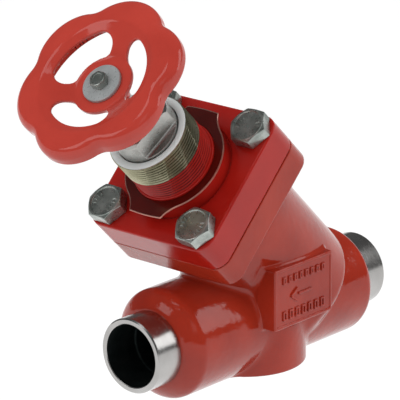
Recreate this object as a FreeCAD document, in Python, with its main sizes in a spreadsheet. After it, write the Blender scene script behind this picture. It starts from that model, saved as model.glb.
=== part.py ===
import FreeCAD, Part
import math
import os
import re
import Sketcher

# Shut-off valve, straightway globe pattern with a bonnet that leans 45 degrees over the outlet.
#
# Frame: millimetres, origin at the centre of the inlet weld end's face, +X out of the inlet along
# the pipe, +Z up in the plane of the bonnet, and the cast rating panel on the -Y side. The flow
# enters at +X and leaves at -X. Stations are heights along the bonnet axis, counted from the point
# where it crosses the pipe axis. The valve is drawn closed.

SIZES = {
    # Pipe line and cast body
    "face_to_face": 155.0,
    "pipe_radius": 16.85,
    "port_radius": 14.25,
    "port_depth": 18.0,
    "passage_radius": 13.6,
    "weld_bevel": 0.6,
    "weld_end_length": 14.0,
    "barrel_radius": 25.0,
    "shoulder_round": 8.6,
    "axis_crossing": 44.9,
    "bonnet_lean": 45.0,
    "neck_radius": 30.7,
    "neck_foot_station": 4.5,
    "neck_foot_round": 7.0,
    "neck_flare": 3.0,
    "chamber_radius": 22.0,
    "web_thickness": 5.5,
    "seat_floor_station": 8.5,
    "seat_lip_height": 1.5,
    "seat_radius": 13.0,
    "seat_lip_width": 2.5,
    "pad_radius": 27.2,
    "pad_depth": 21.6,
    "pad_offset": 78.9,
    "panel_left": 97.5,
    "panel_length": 39.4,
    "panel_foot": 2.5,
    "panel_height": 28.1,
    "panel_setback": 1.4,
    "panel_rim": 1.5,
    "panel_recess": 0.8,
    "panel_corner": 1.2,
    # Square flanges and their bolts
    "flange_overhang": 3.7,
    "flange_corner": 7.5,
    "body_flange_station": 77.6,
    "body_flange_thickness": 13.3,
    "flange_gap": 0.4,
    "bonnet_flange_thickness": 16.0,
    "bolt_neck_gap": 0.08,
    "bolt_radius": 5.0,
    "bolt_thread_clearance": 0.02,
    "bolt_hole_radius": 5.5,
    "bolt_length": 35.0,
    "bolt_head_flats": 16.0,
    "bolt_head_height": 6.4,
    "bolt_tip_chamfer": 1.0,
    "bolt_turn": 28.0,
    # Gasket between body and bonnet
    "gasket_width": 4.0,
    "gasket_thickness": 2.0,
    "gasket_clearance": 0.2,
    # Bonnet
    "spigot_length": 15.0,
    "spigot_clearance": 0.3,
    "spindle_thread_bore": 8.0,
    "spindle_thread_length": 20.0,
    "thread_relief_radius": 8.6,
    "thread_relief_length": 12.0,
    "back_seat_radius": 6.3,
    "back_seat_thickness": 3.0,
    "packing_bore_radius": 11.0,
    "packing_bore_length": 11.0,
    "gland_thread_radius": 13.5,
    "gland_thread_length": 10.0,
    "neck_bore_radius": 14.9,
    "shoulder_radius": 23.5,
    "shoulder_height": 6.7,
    "shoulder_fillet": 0.5,
    "neck_root_radius": 19.6,
    "neck_root_height": 1.6,
    "cap_thread_radius": 18.75,
    "cap_thread_length": 22.6,
    "cap_thread_chamfer": 0.8,
    # Label plate round the neck
    "label_thickness": 0.7,
    "label_clearance": 0.2,
    "label_radius": 24.2,
    "label_tab_reach": 26.6,
    "label_tab_width": 17.2,
    "label_tab_flare": 9.0,
    "label_flare_width": 3.0,
    # Packing gland
    "gland_clearance": 0.05,
    "gland_shoulder_gap": 0.2,
    "gland_head_radius": 14.6,
    "gland_flats": 21.0,
    "gland_flat_station": 139.2,
    "gland_hub_gap": 16.0,
    "gland_top_chamfer": 1.2,
    "gland_flat_turn": 77.0,
    "gland_groove_rise": 0.8,
    "gland_groove_height": 2.6,
    "gland_ring_radius": 1.1,
    # Packing stack, from the bottom of the packing bore upwards
    "stack_clearance": 0.06,
    "support_ring_thickness": 1.6,
    "packing_ring_thickness": 2.0,
    "packing_ring_count": 3.0,
    "packing_vee_depth": 0.9,
    "follower_ring_thickness": 2.0,
    "disc_spring_thickness": 0.8,
    "disc_spring_rise": 0.6,
    "disc_spring_bore_gap": 0.5,
    "disc_spring_rim_gap": 0.4,
    # Spindle seals inside the gland
    "spindle_ring_radius": 1.05,
    "spindle_ring_groove_height": 2.4,
    "lower_ring_station": 127.0,
    "upper_ring_station": 141.0,
    "wiper_height": 3.4,
    "wiper_radius": 9.0,
    "wiper_lip": 0.7,
    # Spindle
    "spindle_radius": 6.0,
    "running_clearance": 0.05,
    "spindle_thread_drop": 14.0,
    "collar_radius": 7.9,
    "collar_height": 4.2,
    "square_side": 8.0,
    "square_clearance": 0.03,
    "square_corner_reach": 5.28,
    "square_top_gap": 0.5,
    "screw_hole_radius": 2.0,
    "screw_hole_clearance": 0.02,
    "screw_hole_depth": 14.0,
    # Valve cone and its soft seal
    "seat_contact_gap": 0.05,
    "cone_radius": 18.0,
    "cone_skirt_drop": 1.5,
    "cone_disc_height": 7.0,
    "cone_hub_radius": 12.5,
    "cone_edge_round": 1.5,
    "seal_ring_bore": 10.0,
    "seal_ring_radius": 16.5,
    "seal_ring_thickness": 3.0,
    "seal_clearance": 0.05,
    "seal_disc_radius": 12.0,
    "seal_disc_thickness": 2.2,
    "seal_disc_chamfer": 0.8,
    "seal_screw_radius": 3.0,
    "seal_screw_length": 9.0,
    "seal_screw_flats": 10.0,
    "seal_screw_head": 3.6,
    "pocket_radius": 8.1,
    "pocket_floor": 2.0,
    "thrust_washer_thickness": 1.5,
    "thrust_washer_bore": 3.0,
    "collar_play": 0.1,
    "nut_thread_radius": 10.0,
    "nut_height": 6.0,
    "nut_bore_radius": 6.4,
    "nut_slot_width": 3.0,
    "nut_slot_depth": 2.2,
    # Handwheel and its fastening
    "web_top_station": 176.5,
    "hub_length": 11.5,
    "hub_radius": 9.0,
    "wheel_web_thickness": 2.0,
    "rim_rise": 7.5,
    "rim_drop": 1.5,
    "lobe_reach": 39.2,
    "notch_reach": 35.2,
    "notch_round": 9.0,
    "lobe_count": 6.0,
    "wheel_turn": 2.0,
    "dish_foot_radius": 11.4,
    "dish_foot_round": 6.0,
    "dish_slope": 26.6,
    "crest_radius": 32.0,
    "rim_wall": 3.5,
    "crest_round": 17.9,
    "rim_inner_radius": 31.0,
    "rim_upper_round": 5.5,
    "rim_lower_round": 2.0,
    "slot_inner_radius": 13.9,
    "slot_outer_radius": 23.8,
    "slot_end_straight": 0.35,
    "spoke_width": 8.8,
    "spoke_count": 3.0,
    "slot_turn": -0.5,
    "wheel_washer_radius": 9.0,
    "wheel_washer_thickness": 1.6,
    "wheel_screw_flats": 7.0,
    "wheel_screw_head": 3.4,
    "wheel_screw_socket_radius": 2.5,
    "wheel_screw_socket_depth": 0.6,
    "wheel_screw_length": 14.0,
    "wheel_screw_turn": 30.0,
}

doc = FreeCAD.newDocument("ShutOffValve")
sheet = doc.addObject("Spreadsheet::Sheet", "Sizes")
for row, (alias, number) in enumerate(SIZES.items(), start=1):
    sheet.set("A%d" % row, alias)
    sheet.set("B%d" % row, repr(number))
    sheet.setAlias("B%d" % row, alias)
doc.recompute()


def size(alias):
    """The number that the sheet holds under an alias."""
    return float(sheet.get(alias))


def in_sheet(expression):
    """An expression in aliases, written so that another object can use it."""
    def named(word):
        return "Sizes." + word.group() if word.group() in SIZES else word.group()
    return re.sub("[a-z_]+", named, expression)


def value(expression):
    """The number that an expression in aliases comes to."""
    if expression == "0":
        return 0.0
    return float(sheet.evalExpression(expression))


# Sizes of the square flanges, then stations along the bonnet axis, each from what decides it

FLANGE_SIDE = "2 * (neck_radius + flange_overhang)"
PANEL_FACE = "neck_radius + flange_overhang - panel_setback"
SLOT_CORNER = "( slot_outer_radius - slot_inner_radius ) / 2 - slot_end_straight"
BOLT_SPACING = "sqrt(2) * (neck_radius + bolt_radius + bolt_neck_gap)"
SEAT_TOP = "seat_floor_station + seat_lip_height"
BODY_FLANGE_TOP = "body_flange_station + body_flange_thickness"
BONNET_FOOT = BODY_FLANGE_TOP + " + flange_gap"
BONNET_FLANGE_TOP = BONNET_FOOT + " + bonnet_flange_thickness"
SHOULDER_TOP = BONNET_FLANGE_TOP + " + shoulder_height"
NECK_TOP = SHOULDER_TOP + " + neck_root_height + cap_thread_length"
SPIGOT_FOOT = BONNET_FOOT + " - spigot_length"
SPINDLE_THREAD_TOP = SPIGOT_FOOT + " + spindle_thread_length"
PACKING_FLOOR = SPINDLE_THREAD_TOP + " + thread_relief_length + back_seat_thickness"
PACKING_TOP = PACKING_FLOOR + " + packing_bore_length"
GLAND_SHOULDER = PACKING_TOP + " + gland_thread_length"
SPRINGS_FOOT = (
    PACKING_FLOOR + " + support_ring_thickness + packing_ring_count * packing_ring_thickness"
    " + follower_ring_thickness")
GLAND_FOOT = SPRINGS_FOOT + " + 2 * (disc_spring_thickness + disc_spring_rise)"
SEAL_FOOT = SEAT_TOP + " + seat_contact_gap"
CONE_FOOT = SEAL_FOOT + " + seal_ring_thickness - cone_skirt_drop"
POCKET_FLOOR = SEAL_FOOT + " + seal_ring_thickness + cone_disc_height + pocket_floor"
COLLAR_FOOT = POCKET_FLOOR + " + thrust_washer_thickness"
NUT_FOOT = COLLAR_FOOT + " + collar_height + collar_play"
NUT_TOP = NUT_FOOT + " + nut_height"
SPINDLE_TOP = "web_top_station - square_top_gap"
HUB_FOOT = "( web_top_station - hub_length )"
GLAND_TOP = "( web_top_station - hub_length - gland_hub_gap )"
RIM_TOP = "( web_top_station + rim_rise )"
RIM_FOOT = "( web_top_station - rim_drop )"


def lean_axis():
    """The direction of the bonnet axis, up and away from the inlet."""
    lean = math.radians(size("bonnet_lean"))
    return FreeCAD.Vector(-math.sin(lean), 0, math.cos(lean))


def at_station(station, turn=0.0):
    """The placement of a piece drawn about its own Z, set on the bonnet axis at a station."""
    crossing = FreeCAD.Vector(-size("axis_crossing"), 0, 0)
    tilt = FreeCAD.Rotation(FreeCAD.Vector(0, 1, 0), -size("bonnet_lean"))
    spin = FreeCAD.Rotation(FreeCAD.Vector(0, 0, 1), turn)
    return FreeCAD.Placement(crossing + lean_axis() * station, tilt * spin)


def origin_plane(body, role):
    for feature in body.Origin.OriginFeatures:
        if feature.Role == role:
            return feature


def arc_middle(start, end, radius, side):
    """The middle point of an arc from start to end that bulges to the left or the right."""
    chord = end.sub(start)
    half = chord.Length / 2
    rise = radius - math.sqrt(max(radius * radius - half * half, 0.0))
    left = FreeCAD.Vector(-chord.y, chord.x, 0).normalize()
    return start.add(end).multiply(0.5).add(left.multiply(rise * side))


def pin_point(sketch, geometry, point, expressions):
    """Hold one point of a sketch at two expressions, measured from the sketch's origin."""
    for kind, axis, expression in zip(("DistanceX", "DistanceY"), (-2, -1), expressions):
        if expression == "0":
            sketch.addConstraint(Sketcher.Constraint("PointOnObject", geometry, point, axis))
            continue
        index = sketch.addConstraint(
            Sketcher.Constraint(kind, -1, 1, geometry, point, value(expression)))
        sketch.setExpression("Constraints[%d]" % index, in_sheet(expression))


def closed_outline(sketch, outline):
    """Draw a closed outline. Each corner is (across, up) or (across, up, arc radius, side), where
    an arc runs from that corner to the next one and side is 1 for a bulge to the left."""
    corners = [FreeCAD.Vector(value(item[0]), value(item[1]), 0) for item in outline]
    starts = []
    ends = []
    for index, item in enumerate(outline):
        here = corners[index]
        there = corners[(index + 1) % len(corners)]
        if len(item) == 2:
            geometry = sketch.addGeometry(Part.LineSegment(here, there), False)
            swapped = False
        else:
            middle = arc_middle(here, there, value(item[2]), item[3])
            geometry = sketch.addGeometry(Part.Arc(here, middle, there), False)
            swapped = sketch.getPoint(geometry, 1).distanceToPoint(here) > 1e-6
        starts.append((geometry, 2 if swapped else 1))
        ends.append((geometry, 1 if swapped else 2))
    for index, item in enumerate(outline):
        after = (index + 1) % len(outline)
        sketch.addConstraint(Sketcher.Constraint("Coincident", *ends[index], *starts[after]))
        pin_point(sketch, *starts[index], item[:2])
    for index, item in enumerate(outline):
        if len(item) == 4:
            constraint = sketch.addConstraint(
                Sketcher.Constraint("Radius", starts[index][0], value(item[2])))
            sketch.setExpression("Constraints[%d]" % constraint, in_sheet(item[2]))


def sketched_body(name, role, outline):
    body = doc.addObject("PartDesign::Body", name)
    sketch = body.newObject("Sketcher::SketchObject", name + "_outline")
    sketch.AttachmentSupport = (origin_plane(body, role), [""])
    sketch.MapMode = "FlatFace"
    closed_outline(sketch, outline)
    return body, sketch


def turned(name, outline, placement=None):
    """A body turned about its own Z from an outline of (radius, height) corners."""
    body, sketch = sketched_body(name, "XZ_Plane", outline)
    turning = body.newObject("PartDesign::Revolution", name + "_turning")
    turning.Profile = sketch
    turning.ReferenceAxis = (sketch, ["V_Axis"])
    turning.Angle = 360.0
    body.Tip = turning
    body.Placement = placement or FreeCAD.Placement()
    return body


def padded(name, outline, length, placement=None):
    """A body of one outline in its own XY plane, raised along its own Z."""
    body, sketch = sketched_body(name, "XY_Plane", outline)
    pad = body.newObject("PartDesign::Pad", name + "_pad")
    pad.Profile = sketch
    pad.setExpression("Length", in_sheet(length))
    body.Tip = pad
    body.Placement = placement or FreeCAD.Placement()
    return body


def cylinder(name, radius, height, placement):
    rod = doc.addObject("Part::Cylinder", name)
    rod.setExpression("Radius", in_sheet(radius))
    rod.setExpression("Height", in_sheet(height))
    rod.Placement = placement
    return rod


def block(name, length, width, height, placement):
    box = doc.addObject("Part::Box", name)
    for side, expression in zip(("Length", "Width", "Height"), (length, width, height)):
        box.setExpression(side, in_sheet(expression))
    box.Placement = placement
    return box


def fused(name, pieces):
    fusion = doc.addObject("Part::MultiFuse", name)
    fusion.Shapes = pieces
    return fusion


def cut(name, base, tools):
    cutting = doc.addObject("Part::Cut", name)
    cutting.Base = base
    cutting.Tool = tools[0] if len(tools) == 1 else fused(name + "_tools", tools)
    return cutting


def shared(name, first, second):
    common = doc.addObject("Part::Common", name)
    common.Base = first
    common.Tool = second
    return common


def ring(name, bore, outside, height, placement):
    """A flat ring with square edges."""
    return turned(name, [(bore, "0"), (outside, "0"), (outside, height), (bore, height)], placement)


def round_ring(name, centre_radius, section_radius, placement):
    torus = doc.addObject("Part::Torus", name)
    torus.setExpression("Radius1", in_sheet(centre_radius))
    torus.setExpression("Radius2", in_sheet(section_radius))
    torus.Placement = placement
    return torus


def hexagon(name, flats, height, placement):
    prism = doc.addObject("Part::Prism", name)
    prism.Polygon = 6
    prism.setExpression("Circumradius", in_sheet("( " + flats + " ) / 2 / cos(30 deg)"))
    prism.setExpression("Height", in_sheet(height))
    prism.Placement = placement
    return prism


def hex_head(name, flats, height, placement):
    """A hexagon head whose upper corners are turned off at 30 degrees."""
    edge = "( " + flats + " ) * 0.475"
    corner = "( " + flats + " ) * 0.6"
    fall = "( " + height + " ) - ( " + flats + " ) * 0.125 * tan(30 deg)"
    dome = turned(name + "_dome", [
        ("0", "0"), (corner, "0"), (corner, fall), (edge, height), ("0", height)], placement)
    return shared(name, hexagon(name + "_hexagon", flats, height, placement), dome)


def grid_of_bolts():
    half = value(BOLT_SPACING) / 2
    return [(x * half, y * half) for x in (-1, 1) for y in (-1, 1)]


def beside_axis(station, across, depth, turn=0.0):
    """The placement of a piece parallel to the bonnet axis, at a station and off to one side."""
    place = at_station(station)
    place.Base = place.multVec(FreeCAD.Vector(across, depth, 0))
    spin = FreeCAD.Rotation(FreeCAD.Vector(0, 0, 1), turn)
    return FreeCAD.Placement(place.Base, place.Rotation * spin)


def square_block(name, side, height, station):
    """A square block centred on the bonnet axis."""
    half = value(side) / 2
    return block(name, side, side, height, beside_axis(station, -half, -half))


def rounded_square(name, side, corner, height, station):
    flange = doc.addObject("Part::Fillet", name)
    flange.Base = square_block(name + "_block", side, height, station)
    doc.recompute()
    upright = []
    for number, edge in enumerate(flange.Base.Shape.Edges, start=1):
        along = edge.tangentAt(edge.FirstParameter)
        if abs(along.dot(lean_axis())) > 0.99:
            upright.append((number, size(corner), size(corner)))
    flange.Edges = upright
    return flange


# Cast body with its weld ends

def barrel():
    """The pipe line of the casting, from the outlet face to the inlet face."""
    foot = "weld_end_length"
    half = [
        ("pipe_radius - weld_bevel", "0"),
        ("pipe_radius", "weld_bevel"),
        ("pipe_radius", foot, "shoulder_round", -1),
        ("barrel_radius", foot + " + shoulder_round"),
    ]
    mirrored = [
        ("barrel_radius", "face_to_face - weld_end_length - shoulder_round", "shoulder_round", -1),
        ("pipe_radius", "face_to_face - weld_end_length"),
        ("pipe_radius", "face_to_face - weld_bevel"),
        ("pipe_radius - weld_bevel", "face_to_face"),
    ]
    axis = [("0", "face_to_face"), ("0", "0")]
    place = FreeCAD.Placement(
        FreeCAD.Vector(-size("face_to_face"), 0, 0),
        FreeCAD.Rotation(FreeCAD.Vector(0, 1, 0), 90))
    return turned("body_barrel", half + mirrored + axis, place)


def neck():
    """The round neck of the casting, whose foot swells out of the barrel."""
    flange_foot = "body_flange_station - neck_foot_station"
    outline = [
        ("0", "0"),
        ("neck_radius - neck_foot_round", "0", "neck_foot_round", -1),
        ("neck_radius", "neck_foot_round"),
        ("neck_radius", flange_foot + " - neck_flare", "neck_flare", 1),
        ("neck_radius + neck_flare", flange_foot),
        ("neck_radius + neck_flare", flange_foot + " + 1"),
        ("0", flange_foot + " + 1"),
    ]
    return turned("body_neck", outline, at_station(size("neck_foot_station")))


def support_pad():
    place = FreeCAD.Placement(
        FreeCAD.Vector(-size("pad_offset"), 0, -size("pad_depth")), FreeCAD.Rotation())
    return cylinder("body_pad", "pad_radius", "pad_depth", place)


def under_pad():
    """What lies below the pad's face, which is flat across its whole circle."""
    place = FreeCAD.Placement(
        FreeCAD.Vector(-size("pad_offset"), 0, -size("pad_depth") - size("barrel_radius")),
        FreeCAD.Rotation())
    return cylinder("body_pad_facing", "pad_radius", "barrel_radius", place)


def rating_panel():
    """The rectangular cast panel on the side wall, with a raised rim round a bare field."""
    corner = FreeCAD.Vector(-size("panel_left"), -value(PANEL_FACE), size("panel_foot"))
    panel = doc.addObject("Part::Fillet", "body_panel")
    panel.Base = block(
        "body_panel_block", "panel_length", PANEL_FACE + " - port_radius - 4", "panel_height",
        FreeCAD.Placement(corner, FreeCAD.Rotation()))
    doc.recompute()
    across = []
    for number, edge in enumerate(panel.Base.Shape.Edges, start=1):
        if abs(edge.tangentAt(edge.FirstParameter).y) > 0.99:
            across.append((number, size("panel_corner"), size("panel_corner")))
    panel.Edges = across
    return panel


def panel_field():
    rim = size("panel_rim")
    corner = FreeCAD.Vector(
        -size("panel_left") + rim, -value(PANEL_FACE) - 1, size("panel_foot") + rim)
    return block(
        "body_panel_field", "panel_length - 2 * panel_rim", "panel_recess + 1",
        "panel_height - 2 * panel_rim", FreeCAD.Placement(corner, FreeCAD.Rotation()))


def half_space(name, station, above):
    """A block large enough to hold all of the casting on one side of a station."""
    reach = "( 2 * face_to_face )"
    side = 2 * size("face_to_face")
    foot = station if above else station - side
    return block(name, reach, reach, reach, beside_axis(foot, -side / 2, -side / 2))


def port(name, face, inward, station, above):
    """A pipe bore from one weld end up to the seat web, narrower behind the weld end."""
    place = FreeCAD.Placement(
        FreeCAD.Vector(face, 0, 0), FreeCAD.Rotation(FreeCAD.Vector(0, 1, 0), 90 * inward))
    step = "port_radius - passage_radius"
    bore = turned(name + "_bore", [
        ("0", "- 1"), ("port_radius", "- 1"), ("port_radius", "port_depth"),
        ("passage_radius", "port_depth + " + step), ("passage_radius", "face_to_face * 0.7"),
        ("0", "face_to_face * 0.7")], place)
    return shared(name, bore, half_space(name + "_side", station, above))


def seat_chamber():
    """The round chamber over the seat, with the lip that the cone shuts against left standing."""
    lip = "seat_radius + seat_lip_width"
    recess = "chamber_radius + gasket_width + gasket_clearance"
    floor = "seat_lip_height"
    recess_floor = BONNET_FOOT + " - gasket_thickness - seat_floor_station"
    top = BONNET_FOOT + " + 1 - seat_floor_station"
    outline = [
        ("0", floor), (lip, floor), (lip, "0"), ("chamber_radius", "0"),
        ("chamber_radius", recess_floor), (recess, recess_floor), (recess, top), ("0", top)]
    return turned("body_chamber", outline, at_station(size("seat_floor_station")))


def bolt_holes(name, radius, foot, height):
    return [
        cylinder("%s_%d" % (name, number), radius, height, beside_axis(foot, across, depth))
        for number, (across, depth) in enumerate(grid_of_bolts(), start=1)]


def valve_body():
    flange = rounded_square(
        "body_flange", FLANGE_SIDE, "flange_corner", "body_flange_thickness",
        size("body_flange_station"))
    casting = fused("body_casting", [barrel(), neck(), flange, support_pad(), rating_panel()])
    web_foot = size("seat_floor_station") - size("web_thickness")
    seat_hole = cylinder(
        "body_seat_hole", "seat_radius", "web_thickness + seat_lip_height + 2",
        at_station(web_foot - 1))
    tools = [
        under_pad(), panel_field(), seat_chamber(), seat_hole,
        port("body_inlet", 0, -1, web_foot, False),
        port("body_outlet", -size("face_to_face"), 1, size("seat_floor_station"), True)]
    tools += bolt_holes(
        "body_bolt_hole", "bolt_radius + bolt_thread_clearance",
        size("body_flange_station") - size("neck_flare") - 1,
        "body_flange_thickness + neck_flare + 2")
    return cut("valve_body", casting, tools)


# Bonnet, gasket, bolts and label plate

def bonnet():
    foot = value(SPIGOT_FOOT)
    spigot = "chamber_radius - spigot_clearance"
    flange_foot = "spigot_length"
    flange_top = flange_foot + " + bonnet_flange_thickness"
    shoulder_top = flange_top + " + shoulder_height"
    root_top = shoulder_top + " + neck_root_height"
    neck_top = root_top + " + cap_thread_length"
    stem = turned("bonnet_stem", [
        ("0", "0"), (spigot, "0"), (spigot, flange_foot + " + 1"),
        ("shoulder_radius + shoulder_fillet", flange_foot + " + 1"),
        ("shoulder_radius + shoulder_fillet", flange_top, "shoulder_fillet", 1),
        ("shoulder_radius", flange_top + " + shoulder_fillet"),
        ("shoulder_radius", shoulder_top),
        ("neck_root_radius", shoulder_top), ("neck_root_radius", root_top),
        ("cap_thread_radius", root_top), ("cap_thread_radius", neck_top + " - cap_thread_chamfer"),
        ("cap_thread_radius - cap_thread_chamfer", neck_top), ("0", neck_top)], at_station(foot))
    flange = rounded_square(
        "bonnet_flange", FLANGE_SIDE, "flange_corner", "bonnet_flange_thickness",
        value(BONNET_FOOT))
    relief = "spindle_thread_length + 1"
    seat = relief + " + thread_relief_length"
    packing = seat + " + back_seat_thickness"
    thread = packing + " + packing_bore_length"
    entry = thread + " + gland_thread_length"
    top = neck_top + " + 2"
    bore = turned("bonnet_bore", [
        ("0", "0"), ("spindle_thread_bore", "0"), ("spindle_thread_bore", relief),
        ("thread_relief_radius", relief), ("thread_relief_radius", seat),
        ("back_seat_radius", seat), ("back_seat_radius", packing),
        ("packing_bore_radius", packing), ("packing_bore_radius", thread),
        ("gland_thread_radius", thread), ("gland_thread_radius", entry),
        ("neck_bore_radius", entry), ("neck_bore_radius", top), ("0", top)],
        at_station(foot - 1))
    holes = bolt_holes(
        "bonnet_bolt_hole", "bolt_hole_radius", value(BONNET_FOOT) - 1,
        "bonnet_flange_thickness + 2")
    return cut("bonnet", fused("bonnet_blank", [stem, flange]), [bore] + holes)


def bonnet_gasket():
    return ring(
        "bonnet_gasket", "chamber_radius + gasket_clearance",
        "chamber_radius + gasket_width", "gasket_thickness",
        at_station(value(BONNET_FOOT) - size("gasket_thickness")))


def bolt(name, across, depth):
    """One hexagon bolt, seated on the bonnet flange and screwed into the body flange."""
    seat = value(BONNET_FLANGE_TOP)
    shank = turned(name + "_shank", [
        ("0", "0"), ("bolt_radius - bolt_tip_chamfer", "0"), ("bolt_radius", "bolt_tip_chamfer"),
        ("bolt_radius", "bolt_length + 1"), ("0", "bolt_length + 1")],
        beside_axis(seat - size("bolt_length"), across, depth))
    head = hex_head(
        name + "_head", "bolt_head_flats", "bolt_head_height",
        beside_axis(seat, across, depth, size("bolt_turn")))
    return fused(name, [shank, head])


def bonnet_bolts():
    bolts = doc.addObject("Part::Compound", "bonnet_bolts")
    bolts.Links = [
        bolt("bonnet_bolt_%d" % number, across, depth)
        for number, (across, depth) in enumerate(grid_of_bolts(), start=1)]
    return bolts


def label_plate():
    """A thin plate round the neck, with a tab up the slope and another one down it."""
    reach = "label_tab_reach"
    half = "label_tab_width / 2"
    # Where the flare of a tab leaves the round of the plate
    meets = value("label_radius") ** 2 - (value(half) + size("label_flare_width")) ** 2
    shoulder = "sqrt(label_radius ^ 2 - (label_tab_width / 2 + label_flare_width) ^ 2)"
    if meets <= 0:
        raise ValueError("the tabs of the label plate are wider than its round")
    flare = "label_tab_flare"
    outline = [
        (reach, "- ( " + half + " )"), (reach, half, flare, 1),
        (shoulder, half + " + label_flare_width", "label_radius", -1),
        ("- ( " + shoulder + " )", half + " + label_flare_width", flare, 1),
        ("- " + reach, half), ("- " + reach, "- ( " + half + " )", flare, 1),
        ("- ( " + shoulder + " )", "- ( " + half + " + label_flare_width )", "label_radius", -1),
        (shoulder, "- ( " + half + " + label_flare_width )", flare, 1)]
    place = at_station(value(SHOULDER_TOP))
    plate = padded("label_blank", outline, "label_thickness", place)
    hole = cylinder(
        "label_hole", "neck_root_radius + label_clearance", "label_thickness + 2",
        at_station(value(SHOULDER_TOP) - 1))
    return cut("label_plate", plate, [hole])


# Gland and packing

def groove(name, station, inner, outer, height):
    return ring(name, inner, outer, height, at_station(station))


def packing_gland():
    foot = value(GLAND_FOOT)
    shoulder = value(GLAND_SHOULDER)
    bore = "spindle_radius + running_clearance"
    thread = "gland_thread_radius - gland_clearance"
    head_foot = GLAND_SHOULDER + " + gland_shoulder_gap - (" + GLAND_FOOT + ")"
    height = GLAND_TOP + " - ( " + GLAND_FOOT + " )"
    blank = turned("gland_blank", [
        (bore, "0"), (thread, "0"), (thread, head_foot), ("gland_head_radius", head_foot),
        ("gland_head_radius", height + " - gland_top_chamfer"),
        ("gland_head_radius - gland_top_chamfer", height), (bore, height)], at_station(foot))
    side = 4 * size("gland_head_radius")
    flats = []
    for number, turn in enumerate((0, 180), start=1):
        place = at_station(size("gland_flat_station"), size("gland_flat_turn") + turn)
        place.Base = place.multVec(FreeCAD.Vector(size("gland_flats") / 2, -side / 2, 0))
        flats.append(block(
            "gland_flat_%d" % number, "gland_head_radius", "4 * gland_head_radius",
            GLAND_TOP, place))
    ring_room = "spindle_radius + running_clearance + 2 * spindle_ring_radius + 0.05"
    wiper_foot = value(GLAND_TOP) - size("wiper_height")
    grooves = [
        groove("gland_lower_groove", size("lower_ring_station"), bore + " - 1", ring_room,
               "spindle_ring_groove_height"),
        groove("gland_upper_groove", size("upper_ring_station"), bore + " - 1", ring_room,
               "spindle_ring_groove_height"),
        groove("gland_wiper_seat", wiper_foot, bore + " - 1", "wiper_radius",
               "wiper_height + 1"),
        groove("gland_outer_groove", shoulder + size("gland_groove_rise"),
               "neck_bore_radius - 2 * gland_ring_radius - gland_clearance",
               "neck_bore_radius", "gland_groove_height")]
    return cut("packing_gland", blank, flats + grooves)


def gland_seal_ring():
    station = (
        value(GLAND_SHOULDER) + size("gland_groove_rise") + size("gland_groove_height") / 2)
    return round_ring(
        "gland_seal_ring", "neck_bore_radius - gland_ring_radius - gland_clearance",
        "gland_ring_radius", at_station(station))


def spindle_seal_rings():
    rings = doc.addObject("Part::Compound", "spindle_seal_rings")
    middle = size("spindle_ring_groove_height") / 2
    rings.Links = [
        round_ring("spindle_seal_" + level,
                   "spindle_radius + running_clearance + spindle_ring_radius",
                   "spindle_ring_radius", at_station(size(level + "_ring_station") + middle))
        for level in ("lower", "upper")]
    return rings


def wiper_ring():
    """The soft ring in the mouth of the gland, whose lip keeps dirt off the spindle."""
    bore = "spindle_radius + running_clearance"
    outside = "wiper_radius - running_clearance"
    return turned("wiper_ring", [
        (bore + " + wiper_lip", "0"), (outside, "0"), (outside, "wiper_height - wiper_lip"),
        (outside + " - wiper_lip", "wiper_height"), (bore, "wiper_height"),
        (bore, "wiper_height - 2 * wiper_lip"), (bore + " + wiper_lip", "wiper_height - 3 * wiper_lip")],
        at_station(value(GLAND_TOP) - size("wiper_height")))


def stack_ring(name, station, height, vee_below, vee_above):
    """One ring of the packing stack, with a vee hollowed below it or raised above it."""
    bore = "spindle_radius + running_clearance"
    outside = "packing_bore_radius - stack_clearance"
    middle = "( " + bore + " + " + outside + " ) / 2"
    outline = [(bore, "0")]
    if vee_below:
        outline.append((middle, "packing_vee_depth"))
    outline += [(outside, "0"), (outside, height)]
    if vee_above:
        outline.append((middle, height + " + packing_vee_depth"))
    outline.append((bore, height))
    return turned(name, outline, at_station(station))


def stack_station(rings_below):
    return (value(PACKING_FLOOR) + size("support_ring_thickness")
            + rings_below * size("packing_ring_thickness"))


def packing_support_ring():
    return stack_ring(
        "packing_support_ring", value(PACKING_FLOOR), "support_ring_thickness", False, True)


def packing_rings():
    rings = doc.addObject("Part::Compound", "packing_rings")
    rings.Links = [
        stack_ring("packing_ring_%d" % (number + 1), stack_station(number),
                   "packing_ring_thickness", True, True)
        for number in range(int(size("packing_ring_count")))]
    return rings


def packing_follower_ring():
    return stack_ring(
        "packing_follower_ring", stack_station(size("packing_ring_count")),
        "follower_ring_thickness", True, False)


def disc_spring(name, station, opens_up):
    """One coned disc spring, which opens up or down."""
    inner = "spindle_radius + disc_spring_bore_gap"
    outer = "packing_bore_radius - disc_spring_rim_gap"
    rise = "disc_spring_rise"
    thick = "disc_spring_thickness"
    if opens_up:
        outline = [(inner, "0"), (outer, rise), (outer, rise + " + " + thick), (inner, thick)]
    else:
        outline = [(inner, rise), (outer, "0"), (outer, thick), (inner, rise + " + " + thick)]
    return turned(name, outline, at_station(station))


def disc_springs():
    foot = value(SPRINGS_FOOT)
    pitch = size("disc_spring_thickness") + size("disc_spring_rise")
    springs = doc.addObject("Part::Compound", "disc_springs")
    springs.Links = [
        disc_spring("disc_spring_1", foot, False), disc_spring("disc_spring_2", foot + pitch, True)]
    return springs


# Spindle, cone and soft seal

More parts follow.
